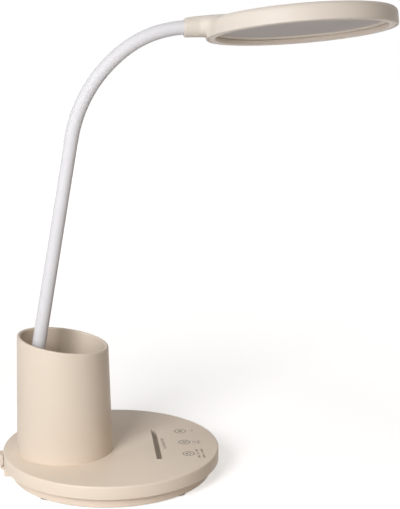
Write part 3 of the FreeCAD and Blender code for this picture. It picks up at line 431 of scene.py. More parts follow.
def apply_modifier(piece: bpy.types.Object, kind: str, **settings: object) -> None:
    """Add a modifier with its settings and apply it at once.

    Args:
        piece: the piece.
        kind: Blender's name for the modifier.
        settings: attributes of the modifier.
    """
    choose(piece)
    modifier = piece.modifiers.new(kind.title(), kind)
    for name, value in settings.items():
        setattr(modifier, name, value)
    bpy.ops.object.modifier_apply(modifier=modifier.name)


def soften(piece: bpy.types.Object, width: float, segments: int = 3,
           angle: float = 40.0) -> None:
    """Round every edge that folds by more than an angle, by a width in millimetres."""
    apply_modifier(piece, "BEVEL", width=width * MM, segments=segments, limit_method="ANGLE",
                   angle_limit=math.radians(angle), use_clamp_overlap=True)


def combine(piece: bpy.types.Object, tool: bpy.types.Object, operation: str) -> None:
    """Join a tool's shape to a piece, or cut it out, and remove the tool."""
    apply_modifier(piece, "BOOLEAN", operation=operation, solver="EXACT", object=tool)
    bpy.data.objects.remove(tool, do_unlink=True)


def turned(name: str, profile: Sequence[Pair], sides: int = 128,
           at: Triple = (0.0, 0.0, 0.0)) -> bpy.types.Object:
    """Turn a profile about Z: a circle is extruded and resized ring by ring.

    Args:
        name: name of the piece.
        profile: (radius, height) of each ring, in millimetres. When the last ring
            is the first one again the wall closes on itself; otherwise both ends
            get a flat face.
        sides: faces round the axis.
        at: foot of the axis, in millimetres.

    Returns:
        The new piece, in object mode.
    """
    clear()
    x, y, z = (value * MM for value in at)
    radius, height = profile[0]
    bpy.ops.mesh.primitive_circle_add(vertices=sides, radius=radius * MM,
                                      location=(x, y, z + height * MM))
    piece = named(name)
    bpy.ops.object.mode_set(mode="EDIT")
    bpy.ops.mesh.select_mode(type="EDGE")
    bpy.ops.mesh.select_all(action="SELECT")
    for new_radius, new_height in profile[1:]:
        rise = (new_height - height) * MM
        bpy.ops.mesh.extrude_region_move(TRANSFORM_OT_translate={"value": (0, 0, rise)})
        grow = new_radius / radius
        bpy.ops.transform.resize(value=(grow, grow, 1),
                                 center_override=(x, y, z + new_height * MM))
        radius, height = new_radius, new_height
    bpy.ops.mesh.select_all(action="SELECT")
    if profile[0] == profile[-1]:
        bpy.ops.mesh.remove_doubles(threshold=0.001 * MM)
    else:
        bpy.ops.mesh.fill_holes(sides=0)
    settle(piece)
    return piece


def block(name: str, low: Triple, high: Triple, round_off: float = 0.0,
          segments: int = 3) -> bpy.types.Object:
    """Box between two corners in millimetres, with rounded edges.

    Args:
        name: name of the piece.
        low: lowest corner.
        high: highest corner.
        round_off: rounding of its edges.
        segments: flats on each rounding.

    Returns:
        The new piece.
    """
    clear()
    size = [(b - a) * MM for a, b in zip(low, high)]
    middle = [(a + b) / 2 * MM for a, b in zip(low, high)]
    bpy.ops.mesh.primitive_cube_add(size=1, location=middle)
    piece = named(name)
    piece.scale = size
    settle(piece)
    if round_off:
        soften(piece, round_off, segments)
    return piece


def lying(name: str, profile: Sequence[Pair], middle: Triple, axis: Triple,
          sides: int = 32) -> bpy.types.Object:
    """Turned piece whose axis lies along a direction through a point.

    Args:
        name: name of the piece.
        profile: (radius, way along the axis) of each ring.
        middle: point on the axis where that way is nought, in millimetres.
        axis: direction of the axis.
        sides: faces round the axis.

    Returns:
        The new piece.
    """
    piece = turned(name, profile, sides)
    turn = Vector(axis).to_track_quat("Z", "Y").to_matrix().to_4x4()
    settle(piece, Matrix.Translation(Vector(middle) * MM) @ turn)
    return piece


def install(piece: bpy.types.Object, body: str, finish: Finish,
            replaced: Sequence[str] = ()) -> None:
    """Dress a finished piece and fix it to its body.

    Args:
        piece: the piece.
        body: the frame's body it moves with.
        finish: its finish.
        replaced: CAD nodes that it stands for.
    """
    dress(piece, finish)
    if replaced:
        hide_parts(*replaced)
    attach(piece, body)
    LOG.info("%s on %s, %s triangles", piece.name, body,
             sum(len(p.vertices) - 2 for p in piece.data.polygons))


# ---------------------------------------------------------------- the round base
@dataclass
class Base:
    """Two covers, the phone slot, the feet and the flap over the port."""

    radius: float = 80.0
    top: float = 18.9
    rim_bottom: float = 9.0
    wall: float = 2.2
    edge: float = 1.2
    under_radius: float = 74.0
    seam_gap: float = 0.3
    seam_top: float = 10.8
    foot_proud: float = 0.8
    foot_radius: float = 5.5
    foot_circle: float = 68.3
    foot_angles: tuple[float, ...] = (51.0, 137.0, -137.0, -51.0)
    slot_ahead: float = 33.6
    slot_length: float = 62.0
    slot_width: float = 4.0
    slot_depth: float = 7.5
    slot_lean: float = 0.5
    slot_turn: float = -2.4
    slot_wall: float = 1.6
    port_height: float = 13.8
    port_wide: float = 9.4
    port_tall: float = 3.8
    hinge_back: float = 81.5
    hinge_height: float = 8.3
    knuckle: float = 1.1
    flap_wide: float = 10.4
    flap_top: float = 17.9
    flap_bottom: float = 9.8
    flap_thick: float = 2.3
    knuckle_wide: float = 4.8

    def build(self) -> None:
        """Make every visible piece of the base."""
        self.cover()
        self.tray()
        self.feet()
        self.flap()

    def leaning(self, name: str, low: float, high: float, grow: float,
                round_off: float) -> bpy.types.Object:
        """Box that leans with the slot.

        Args:
            name: name of the piece.
            low: height of its lower end over the desk.
            high: height of its upper end.
            grow: wall added on every side.
            round_off: rounding of its edges.

        Returns:
            The leaning box, crossing the top face at the slot's place.
        """
        half_wide = self.slot_width / 2 + grow
        half_long = self.slot_length / 2 + grow
        box = block(name, (self.slot_ahead - half_wide, -half_long, low),
                    (self.slot_ahead + half_wide, half_long, high))
        for level in (low, high):
            edit(box)
            pick(box, lambda at: abs(at.z - level * MM) < 0.1 * MM)
            bpy.ops.transform.translate(value=(self.slot_lean * (self.top - level) * MM, 0, 0))
        settle(box, Matrix.Rotation(math.radians(self.slot_turn), 4, "Z"))
        if round_off:
            soften(box, round_off, 4)
        return box

    def cover(self) -> None:
        """The top cover: rounded disc with its rim, inner flange and slanted slot."""
        inside = self.top - self.wall
        collar = self.under_radius + self.seam_gap
        profile = rounded(((8.0, self.top), (self.radius, self.top, self.edge),
                           (self.radius, self.rim_bottom, 0.5), (collar, self.rim_bottom),
                           (collar, self.seam_top), (self.radius - self.wall, self.seam_top),
                           (self.radius - self.wall, inside, 1.0), (8.0, inside)))
        piece = turned("top_cover_shell", profile, 192)
        trough_low = self.top - self.slot_depth - self.slot_wall
        combine(piece, self.leaning("trough", trough_low, inside + 0.5, self.slot_wall, 0.0),
                "UNION")
        combine(piece, self.leaning("slot_tool", self.top - self.slot_depth, self.top + 6.0,
                                    0.0, 0.7), "DIFFERENCE")
        port = block("port_tool", (-self.radius - 4, -self.port_wide / 2,
                                   self.port_height - self.port_tall / 2),
                     (-self.radius + self.wall + 1, self.port_wide / 2,
                      self.port_height + self.port_tall / 2), 1.2)
        combine(piece, port, "DIFFERENCE")
        settle(piece)
        install(piece, "base", Finish.BASE_ABS, ["top_cover"])
        # painted shade: the slot's walls and floor get a greyer, darker finish than the cover
        coat(piece, Finish.SLOT_PAINTED_SHADE, self.in_slot)

    def in_slot(self, spot: Vector) -> bool:
        """Tell whether a spot lies on a wall or the floor of the phone slot.

        Args:
            spot: a face's middle, in metres.

        Returns:
            True inside the slot and below its edge.
        """
        x, y, z = Matrix.Rotation(-math.radians(self.slot_turn), 3, "Z") @ spot / MM
        across = x - self.slot_ahead - self.slot_lean * (self.top - z)
        return (abs(across) < self.slot_width / 2 + 0.4 and abs(y) < self.slot_length / 2 + 0.4
                and self.top - self.slot_depth - 0.4 < z < self.top - 0.2)

    def tray(self) -> None:
        """The bottom cover with the block that carries the hinge."""
        floor = self.foot_proud + 2.0
        profile = rounded(((8.0, floor), (self.under_radius - 2.0, floor, 1.0),
                           (self.under_radius - 2.0, self.seam_top),
                           (self.under_radius, self.seam_top),
                           (self.under_radius, self.foot_proud, 0.9), (8.0, self.foot_proud)))
        piece = turned("bottom_cover_shell", profile, 192)
        top = self.rim_bottom - self.seam_gap
        half = self.flap_wide / 2 - self.seam_gap
        combine(piece, block("hinge_block", (-79.8, -half, self.foot_proud),
                             (-self.under_radius + 1.0, half, top), 0.6), "UNION")
        for side in (-1, 1):
            inner, outer = side * (self.knuckle_wide / 2 + 0.2), side * half
            low, high = min(inner, outer), max(inner, outer)
            combine(piece, block("hinge_web", (-self.hinge_back, low, 6.0),
                                 (-79.0, high, 8.0), 0.2, 2), "UNION")
            barrel = rounded(((0.3, low), (self.knuckle, low, 0.2), (self.knuckle, high, 0.2),
                              (0.3, high)), 2)
            combine(piece, self.pin_like("hinge_barrel", barrel), "UNION")
        settle(piece)
        install(piece, "base", Finish.UNDER_ABS, ["bottom_cover"])

    def pin_like(self, name: str, profile: Sequence[Pair]) -> bpy.types.Object:
        """Turned piece on the flap's hinge line, with its profile's height along +Y."""
        return lying(name, profile, (-self.hinge_back, 0, self.hinge_height), (0, 1, 0), 24)

    def feet(self) -> None:
        """Four rubber feet pressed into the screw holes."""
        profile = rounded(((1.0, self.foot_proud + 0.6), (2.8, self.foot_proud + 0.6, 0.2),
                           (2.8, self.foot_proud), (self.foot_radius, self.foot_proud),
                           (self.foot_radius, 0.0, 0.5), (1.0, 0.0)), 3)
        for number, angle in enumerate(self.foot_angles, start=1):
            turn = math.radians(angle)
            place = (self.foot_circle * math.cos(turn), self.foot_circle * math.sin(turn), 0.0)
            foot = turned(f"rubber_foot_{number}", profile, 48, place)
            install(foot, "base", Finish.FOOT, [f"foot_{number}"])

    def flap(self) -> None:
        """The flap: a curved plate with a plug, a web and a knuckle."""
        near = self.radius + self.seam_gap
        far = near + self.flap_thick
        reach = math.asin(self.flap_wide / 2 / near)
        clear()
        bpy.ops.mesh.primitive_plane_add(size=1)
        piece = named("port_flap_moulded")
        piece.scale = (self.flap_thick * MM, (self.flap_top - self.flap_bottom) * MM, 1)
        middle = Vector((-(near + far) / 2, 0, (self.flap_top + self.flap_bottom) / 2)) * MM
        settle(piece, Matrix.Translation(middle) @ Matrix.Rotation(math.pi / 2, 4, "X"))
        edit(piece)
        bpy.ops.transform.rotate(value=reach, orient_axis="Z", center_override=(0, 0, 0))
        bpy.ops.mesh.spin(steps=8, angle=2 * reach, center=(0, 0, 0), axis=(0, 0, 1))
        settle(piece)
        self.centre(piece)
        soften(piece, 0.5)
        half = self.knuckle_wide / 2
        knuckle = rounded(((0.55, -half), (self.knuckle, -half, 0.15),
                           (self.knuckle, half, 0.15), (0.55, half), (0.55, -half)), 2)
        neck = block("flap_web", (-self.hinge_back - 1.1, -half, self.hinge_height + 0.3),
                     (-self.hinge_back + 1.1, half, self.flap_bottom + 1.0), 0.15, 2)
        combine(piece, neck, "UNION")
        combine(piece, self.pin_like("flap_knuckle", knuckle), "UNION")
        plug = block("flap_plug", (-near - 0.8, -3.8, self.port_height - 1.3),
                     (-near + 1.2, 3.8, self.port_height + 1.3), 0.5)
        combine(piece, plug, "UNION")
        settle(piece)
        install(piece, "flap", Finish.FLAP, ["port_flap"])

    @staticmethod
    def centre(piece: bpy.types.Object) -> None:
        """Turn a spun sector about Z until it lies evenly on both sides of XZ.

        Args:
            piece: the sector.
        """
        sides = [vertex.co.y for vertex in piece.data.vertices]
        middle = (max(sides) + min(sides)) / 2
        radius = max(abs(vertex.co.x) for vertex in piece.data.vertices)
        if abs(middle) > 0.01 * MM:
            settle(piece, Matrix.Rotation(math.asin(middle / radius), 4, "Z"))


# ------------------------------------------------------------------ the pen cup
@dataclass
class PenCup:
    """Tapered cup with a slanted mouth round the foot of the neck."""

    back: float = 34.4
    stands_at: float = 18.9
    low_radius: float = 35.4
    high_radius: float = 33.2
    height: float = 83.6
    wall: float = 2.5
    floor: float = 2.5
    fall: float = 0.151
    lip: float = 1.0
    spare: float = 8.0

    def build(self) -> None:
        """Turn the cup, cut its mouth on the slant and roll its lip."""
        taper = (self.low_radius - self.high_radius) / self.height
        tall = self.height + self.spare
        outer = self.low_radius - taper * tall
        inner_low = self.low_radius - self.wall - taper * self.floor
        profile = rounded(((6.0, 0.0), (self.low_radius, 0.0, 0.25), (outer, tall),
                           (outer - self.wall, tall), (inner_low, self.floor, 2.0),
                           (6.0, self.floor)))
        piece = turned("pen_cup_moulded", profile, 160, (-self.back, 0.0, self.stands_at))
        mouth = Vector((-self.back, 0, self.stands_at + self.height)) * MM
        edit(piece)
        bpy.ops.mesh.bisect(plane_co=mouth, plane_no=(self.fall, 0, 1), clear_outer=True)
        bpy.ops.mesh.select_all(action="DESELECT")
        bpy.ops.mesh.select_mode(type="EDGE")
        bpy.ops.mesh.select_non_manifold()
        bpy.ops.mesh.bridge_edge_loops()
        settle(piece)
        soften(piece, self.lip, 4, 60.0)
        settle(piece)
        install(piece, "base", Finish.CUP_ABS, ["pen_cup"])


# -------------------------------------------------------------------- the marks
@dataclass
class Marks:
    """Printed rings, signs and plain words on the base's top face."""

    top: float = 18.9
    film: float = 0.05
    ahead: float = 54.8
    pitch: float = 23.6
    centre_y: float = -1.2
    ring_radius: float = 4.4
    line: float = 0.5
    weight: float = 0.01

    def build(self) -> None:
        """Print the three touch keys, their words and the sign by the slot."""
        sides = (-self.pitch, 0.0, self.pitch)
        prints = []
        for side in sides:
            y = self.centre_y + side
            prints.append(self.ring(self.ahead, y, self.ring_radius, self.line))
        near, middle, far = (self.centre_y + side for side in sides)
        prints.append(self.ring(self.ahead, near, 1.9, self.line))
        prints.append(self.dash(self.ahead - 1.9, near, 2.4, self.line, 0.0))
        prints.append(self.ring(self.ahead, middle, 1.5, self.line))
        prints += [self.ray(self.ahead, middle, 2.7, turn * 45.0) for turn in range(8)]
        prints.append(self.ring(self.ahead, far, 1.7, self.line))
        prints.append(self.dash(self.ahead, far, 3.4, self.line, 90.0))
        lines = (("ON  1 2 3  OFF", 61.7, near - 0.9, 2.6),
                 ("LOW  2 3  HIGH", 65.3, near - 1.0, 2.5),
                 ("1  2", 62.0, middle - 1.5, 3.2), ("3  4", 65.5, middle - 1.4, 3.2),
                 ("+ -", 64.0, far + 0.3, 3.2), ("1 2 3 4 5 6 7 8 9", 39.2, middle - 0.8, 3.2))
        prints += [self.words(*line) for line in lines]
        clear()
        for piece in prints:
            piece.select_set(True)
        bpy.context.view_layer.objects.active = prints[0]
        bpy.ops.object.join()
        joined = named("printed_marks")
        settle(joined)
        install(joined, "base", Finish.INK)

    def ring(self, x: float, y: float, radius: float, line: float) -> bpy.types.Object:
        """Flat printed ring about a point.

        Args:
            x: how far ahead its middle is.
            y: how far across its middle is.
            radius: its outer radius.
            line: width of its line.

        Returns:
            The ring.
        """
        low, high = self.top - 0.02, self.top + self.film
        profile = ((radius, low), (radius, high), (radius - line, high),
                   (radius - line, low), (radius, low))
        return turned("mark", profile, 40, (x, y, 0.0))

    def dash(self, x: float, y: float, length: float, wide: float,
             turn: float) -> bpy.types.Object:
        """Flat printed stroke about a point.

        Args:
            x: how far ahead its middle is.
            y: how far across its middle is.
            length: its length.
            wide: its width.
            turn: its angle to the X axis, in degrees.

        Returns:
            The stroke.
        """
        piece = block("mark", (-length / 2, -wide / 2, -0.02), (length / 2, wide / 2, self.film))
        place = Matrix.Translation(Vector((x, y, self.top)) * MM)
        settle(piece, place @ Matrix.Rotation(math.radians(turn), 4, "Z"))
        return piece

    def ray(self, x: float, y: float, out: float, turn: float) -> bpy.types.Object:
        """Short stroke of a sun sign, some way out from its middle."""
        angle = math.radians(turn)
        return self.dash(x + out * math.cos(angle), y + out * math.sin(angle), 1.0, 0.35, turn)

    def words(self, text: str, x: float, y: float, size: float) -> bpy.types.Object:
        """Plain printed words read from the front of the lamp, about a point.

        Args:
            text: generic words or numbers.
            x: how far ahead their middle is.
            y: how far across their middle is.
            size: height of the type in millimetres.

        Returns:
            The words as a thin mesh.
        """
        clear()
        bpy.ops.object.text_add()
        words = bpy.context.object
        words.data.body = text
        words.data.size = size * MM
        words.data.align_x = "CENTER"
        words.data.align_y = "CENTER"
        words.data.offset = self.weight * size * MM
        words.data.extrude = self.film * MM
        words.data.resolution_u = 3
        bpy.ops.object.convert(target="MESH")
        words = bpy.context.object
        place = Matrix.Translation(Vector((x, y, self.top)) * MM)
        settle(words, place @ Matrix.Rotation(math.pi / 2, 4, "Z"))
        return words


# --------------------------------------------------------------------- the neck
@dataclass
class Neck:
    """Silicone sleeve over the wound core, one smooth length for each bend."""

    foot: float = 58.35
    start_height: float = 23.4
    radius: float = 5.0
    first_radius: float = 439.0
    first_lean: float = 10.05
    straight: float = 152.6
    crown_radius: float = 99.3
    crown_lean: float = 54.0
    tip_radius: float = 75.0
    head_pitch: float = 2.57
    entry: float = 2.5
    low_bend: float = 104.0
    sway_bend: float = 128.0
    crown_bend: float = 282.0
    tip_bend_before: float = 17.0
    step: float = 2.5

    def __post_init__(self) -> None:
        """Lay the middle line out as runs of (start, end, point, lean, radius)."""
        self.runs: list[tuple[float, float, Vector, float, float]] = []
        self.length = 0.0
        self.point = Vector((-self.foot, 0.0, self.start_height))
        self.lean = 0.0
        self.bend_to(self.first_radius, math.radians(self.first_lean))
        self.run_on(self.straight)
        self.bend_to(self.crown_radius, math.radians(self.crown_lean))
        self.bend_to(self.tip_radius, math.radians(90 - self.head_pitch))
        self.mouth_at = self.length
        self.mouth = self.point.copy()
        self.run_on(self.entry)

    def run_on(self, length: float) -> None:
        """Carry the line on straight.

        Args:
            length: by how much, in millimetres.
        """
        ahead = Vector((math.sin(self.lean), 0, math.cos(self.lean)))
        self.runs.append((self.length, self.length + length, self.point, self.lean, 0.0))
        self.point = self.point + ahead * length
        self.length += length

    def bend_to(self, radius: float, lean: float) -> None:
        """Turn the line forward.

        Args:
            radius: radius of the turn in millimetres.
            lean: lean from upright at its end, in radians.
        """
        length = radius * (lean - self.lean)
        self.runs.append((self.length, self.length + length, self.point, self.lean, radius))
        self.point, self.lean = self.at(self.length + length)
        self.length += length

    def at(self, distance: float) -> tuple[Vector, float]:
        """Find a place on the line.

        Args:
            distance: way along the line in millimetres.

        Returns:
            The point and the line's lean there.
        """
        run = next((r for r in self.runs if distance <= r[1] + 1e-9), self.runs[-1])
        start, _, point, lean, radius = run
        past = distance - start
        if radius == 0.0:
            return point + Vector((math.sin(lean), 0, math.cos(lean))) * past, lean
        turned_to = lean + past / radius
        middle = point + Vector((math.cos(lean), 0, -math.sin(lean))) * radius
        return middle + Vector((-math.cos(turned_to), 0, math.sin(turned_to))) * radius, turned_to

    def sleeve(self, name: str, begin: float, end: float) -> bpy.types.Object:
        """One length of sleeve: a circle extruded and turned along the line.

        Args:
            name: name of the piece.
            begin: where it starts along the line.
            end: where it ends.

        Returns:
            The closed sleeve.
        """
        point, lean = self.at(begin)
        clear()
        bpy.ops.mesh.primitive_circle_add(vertices=40, radius=self.radius * MM,
                                          location=point * MM, rotation=(0, lean, 0))
        piece = named(name)
        bpy.ops.object.transform_apply(location=True, rotation=True, scale=True)
        edit(piece)
        bpy.ops.mesh.select_mode(type="EDGE")
        count = max(2, round((end - begin) / self.step))
        for step in range(1, count + 1):
            ahead, new_lean = self.at(begin + (end - begin) * step / count)
            shift = (ahead - point) * MM
            bpy.ops.mesh.extrude_region_move(TRANSFORM_OT_translate={"value": shift})
            if abs(new_lean - lean) > 1e-6:
                bpy.ops.transform.rotate(value=lean - new_lean, orient_axis="Y",
                                         center_override=ahead * MM)
            point, lean = ahead, new_lean
        bpy.ops.mesh.select_all(action="SELECT")
        bpy.ops.mesh.fill_holes(sides=0)
        settle(piece)
        return piece

    def build(self) -> None:
        """Make four lengths of sleeve along the line, each round one bend."""
        tip_bend = self.mouth_at - self.tip_bend_before
        bends = (self.low_bend, self.sway_bend, self.crown_bend, tip_bend)
        cuts = (0.0, (self.low_bend + self.sway_bend) / 2, 200.0,
                (self.crown_bend + tip_bend) / 2 + 2.0, self.length)
        for i, bend in enumerate(bends):
            piece = self.sleeve(f"neck_sleeve_{i + 1}", cuts[i], cuts[i + 1])
            dress(piece, Finish.SLEEVE)
            nodes = [f"neck_sleeve_run_{i + 1}", f"neck_sleeve_bend_{i + 1}"]
            if i == len(bends) - 1:
                nodes.append("neck_sleeve_run_5")
            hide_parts(*nodes)
            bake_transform(piece)


# --------------------------------------------------------------------- the head
@dataclass
class Head:
    """Flat round light with the stem and saddle that carry it."""

    mouth: Vector
    radius: float = 68.5
    height: float = 12.6
    wall: float = 1.9
    roof: float = 2.0
    edge: float = 4.2
    lower_edge: float = 0.7
    pitch: float = 2.57
    roll: float = 12.57
    stem_axis: float = 8.7
    stem_reach: float = 84.5
    stem_mouth: float = 7.0
    stem_side: float = 7.8
    stem_root: float = 7.9
    stem_length: float = 30.5
    nose: float = 9.0
    lip_width: float = 6.6
    recess: float = 4.3
    lip_wall: float = 2.0
    shadow_low: float = 3.1
    shadow_deep: float = 1.2
    panel_face: float = 5.25
    panel_back: float = 5.8
    panel_rim_low: float = 3.75
    panel_rim_wide: float = 1.2
    cove: float = 1.45
    panel_radius: float = 64.6
    plate: float = 1.6
    bezel_gap: float = 0.2
    hub: float = 8.0
    bore: float = 5.5
    bore_deep: float = 9.0
    painted_rim_reach: float = 1.1
    melt: float = 4.5
    flare_from: float = 11.0
    flare_to: float = 27.0
    flare: float = 2.4
    sink: float = 0.93
    sink_from: float = 16.0
    sink_over: float = 22.0

    def place(self) -> Matrix:
        """Frame of the head: origin mid-underside, +X away from the neck.

        Returns:
            Its place in the lamp's frame, in metres.
        """
        turn = (Matrix.Rotation(-math.radians(self.pitch), 4, "Y")
                @ Matrix.Rotation(-math.radians(self.roll), 4, "X"))
        reach = turn @ Vector((self.stem_reach, 0, -self.stem_axis))
        return Matrix.Translation((self.mouth + reach) * MM) @ turn

    def build(self) -> None:
        """Make the shell, the bezel and the light panel."""
        plan = ((self.shell, 30.0, Finish.HEAD_ABS, "head_plastic", "head_shell"),
                (self.bezel, 35.0, Finish.BEZEL_PAINTED_LIGHT, "bezel_plastic", "head_bezel"),
                (self.panel, 35.0, Finish.OPAL, "diffuser_acrylic", "diffuser"))
        for make, angle, finish, slot, node in plan:
            piece = make()
            settle(piece, self.place(), angle)
            install(piece, "head", finish, [node])
        # painted light: the panel's cove and rim get a lighter finish than its face
        coat(piece, Finish.PANEL_RIM_PAINTED_LIGHT, self.on_painted_rim)

    def on_painted_rim(self, spot: Vector) -> bool:
        """Tell whether a spot lies on the panel's cove or rim, which carry painted light.

        Args:
            spot: a face's middle in the lamp's frame, in metres.

        Returns:
            True past the flat face and below it.
        """
        x, y, z = (self.place().inverted() @ spot) / MM
        reach = self.radius - self.lip_width + self.painted_rim_reach
        return z < self.panel_face - 0.02 and math.hypot(x, y) < reach

    def shell(self) -> bpy.types.Object:
        """Disc and stem melted into one moulding, then hollowed from below.

        Returns:
            The shell in the head's frame.
        """
        rings = [(self.hub, self.height)] + [(r, self.height) for r in range(26, 64, 2)]
        edge = rounded(((63.0, self.height), (self.radius, self.height, self.edge),
                        (self.radius, 6.0)), 5)[:-1]
        side = [(self.radius, self.height - self.edge - 1.0 * k) for k in range(1, 7)]
        bottom = rounded(((self.radius, 2.0), (self.radius, 0.0, self.lower_edge),
                          (66.0, 0.0)), 4)[1:-1]
        profile = rings + edge + side + bottom + [(66.0, 0.0), (self.hub, 0.0)]
        piece = turned("head_shell_moulded", profile, 240)
        combine(piece, self.stem(), "UNION")
        self.melt_joint(piece)
        inside, under_roof = self.radius - self.wall, self.height - self.roof
        cavity = turned("cavity_tool", ((self.hub, -2.0), (inside, -2.0), (inside, under_roof),
                                        (self.hub, under_roof)), 240)
        combine(piece, cavity, "DIFFERENCE")
        bore = lying("bore_tool", rounded(((1.0, -1.0), (self.bore, -1.0),
                                           (self.bore, self.bore_deep, 1.0),
                                           (1.0, self.bore_deep))),
                     (-self.stem_reach, 0, self.stem_axis), (1, 0, 0), 48)
        combine(piece, bore, "DIFFERENCE")
        return piece

    def stem(self) -> bpy.types.Object:
        """The stem as a lathe shape along X, its inner end rounded like a nose.

        Returns:
            The stem, still a piece of its own.
        """
        mouth = rounded(((2.0, 0.0), (self.stem_mouth, 0.0, 0.5), (self.stem_mouth, 2.0)), 3)
        reach = self.stem_reach - self.radius
        body = [(self.stem_mouth + (self.stem_side - self.stem_mouth) * k / 12,
                 1.0 + (reach - 1.0) * k / 12) for k in range(1, 13)]
        over = [(self.stem_side + (self.stem_root - self.stem_side) * k / 10,
                 reach + (self.stem_length - reach) * k / 10) for k in range(1, 11)]
        end = [(self.stem_root * math.cos(math.radians(a)) ** 0.8 + 0.3,
                self.stem_length + self.nose * 1.25 * math.sin(math.radians(a)))
               for a in range(10, 90, 10)]
        piece = lying("stem_tool", mouth[:-1] + body + over + end,
                      (-self.stem_reach, 0, self.stem_axis), (1, 0, 0), 64)
        for along in [along for _, along in body + over + end if along > self.flare_from]:
            wide, tall = self.spread(along)
            x = (along - self.stem_reach) * MM
            edit(piece)
            pick(piece, lambda at: abs(at.x - x) < 0.02 * MM)
            bpy.ops.transform.resize(value=(1, wide, tall),
                                     center_override=(x, 0, self.stem_axis * MM))
        settle(piece)
        return piece

    def spread(self, along: float) -> Pair:
        """How much wider and flatter than round the stem is.

        Args:
            along: way from its mouth in millimetres.

        Returns:
            Its growth across and its growth in height.
        """
        share = min(1.0, max(0.0, (along - self.flare_from) / (self.flare_to - self.flare_from)))
        share = share * share * (3 - 2 * share)
        late = min(1.0, max(0.0, (along - self.sink_from) / self.sink_over))
        return 1 + (self.flare - 1) * share, 1 + (self.sink - 1) * late

    def melt_joint(self, piece: bpy.types.Object) -> None:
        """Smooth the surface where the stem runs into the disc.

        Args:
            piece: disc and stem in one mesh.
        """
        edit(piece)
        bpy.ops.mesh.remove_doubles(threshold=0.25 * MM)
        pick(piece, self.near_joint)
        bpy.ops.mesh.vertices_smooth(factor=0.5, repeat=18)

    def near_joint(self, spot: Vector) -> bool:
        """Tell whether a spot lies close to the stem's meeting line.

        Args:
            spot: a vertex in the head's frame, in metres.

        Returns:
            True beside the stem, over it and round its nose.
        """
        x, y, z = spot / MM
        out = math.hypot(x, y)
        along = x + self.stem_reach
        wide, tall = self.spread(along)
        off_axis = math.hypot(y / wide, (z - self.stem_axis) / tall)
        thick = self.stem_side
        by_side = abs(out - self.radius) < self.melt and abs(off_axis - thick) < self.melt
        on_top = (z > self.height - 1.0 and abs(off_axis - thick) < self.melt
                  and along < self.stem_length + self.nose)
        at_nose = z > self.height - 1.0 and abs(y) < thick * wide and abs(
            along - self.stem_length - self.nose) < 2 * self.melt
        low = z < 1.2
        return x < 0 and not low and (by_side or on_top or at_nose)

    def bezel(self) -> bpy.types.Object:
        """The ring round the panel, flush with the shell's lower edge.

        Returns:
            The ring in the head's frame.
        """
        rim = self.radius - self.wall - self.bezel_gap
        inner = self.radius - self.lip_width
        profile = rounded(((rim, self.plate), (rim, 0.0, 0.35), (inner, 0.0, 0.6),
                           (inner, self.shadow_low, 0.2),
                           (inner + self.shadow_deep, self.shadow_low),
                           (inner + self.shadow_deep, self.recess),
                           (inner + self.lip_wall, self.recess),
                           (inner + self.lip_wall, self.plate), (rim, self.plate)))
        return turned("head_bezel_moulded", profile, 240)

    def panel(self) -> bpy.types.Object:
        """Opal panel: a flat face that coves down to a rim in the ring's groove.

        Returns:
            The panel in the head's frame.
        """
        outer = self.radius - self.lip_width + self.shadow_deep - self.bezel_gap
        inner = outer - self.panel_rim_wide
        profile = rounded(((self.hub, self.panel_face), (inner, self.panel_face, self.cove),
                           (inner, self.panel_rim_low, 0.03), (outer, self.panel_rim_low, 0.25),
                           (outer, self.recess), (self.panel_radius, self.recess),
                           (self.panel_radius, self.panel_back), (self.hub, self.panel_back)), 6)
        return turned("diffuser_panel", profile, 200)


# -------------------------------------------------------------- hidden hardware
INSIDE: dict[Finish, tuple[str, ...]] = {
    Finish.ZINC: ("ballast",),
    Finish.FOIL: ("battery",),
    Finish.FOAM: ("battery_tape", "touch_pad_1", "touch_pad_2", "touch_pad_3"),
    Finish.BOARD: ("main_board", "touch_board"),
    Finish.PLATED: ("charging_socket", "hinge_pin", "stem_pin", "cover_screws",
                    "main_board_screws", "touch_board_screws"),
    Finish.BRASS: ("neck_ferrule", "neck_nut", "neck_washer", "swivel_bush"),
    Finish.CLEAR: ("light_guide",),
    Finish.FILM: ("reflector_sheet",),
    Finish.STRIP: ("light_strip",),
    Finish.SHEET_METAL: ("back_plate",),
    Finish.WOUND: tuple(f"neck_core_run_{i}" for i in range(1, 6))
    + tuple(f"neck_core_bend_{i}" for i in range(1, 5)),
}


def dress_inside(nodes: dict[str, bpy.types.Object]) -> None:
    """Give the CAD pieces that stay their own finishes.

    Args:
        nodes: the frame's nodes by name.
    """
    for finish, names in INSIDE.items():
        for name in names:
            dress(nodes[name], finish)


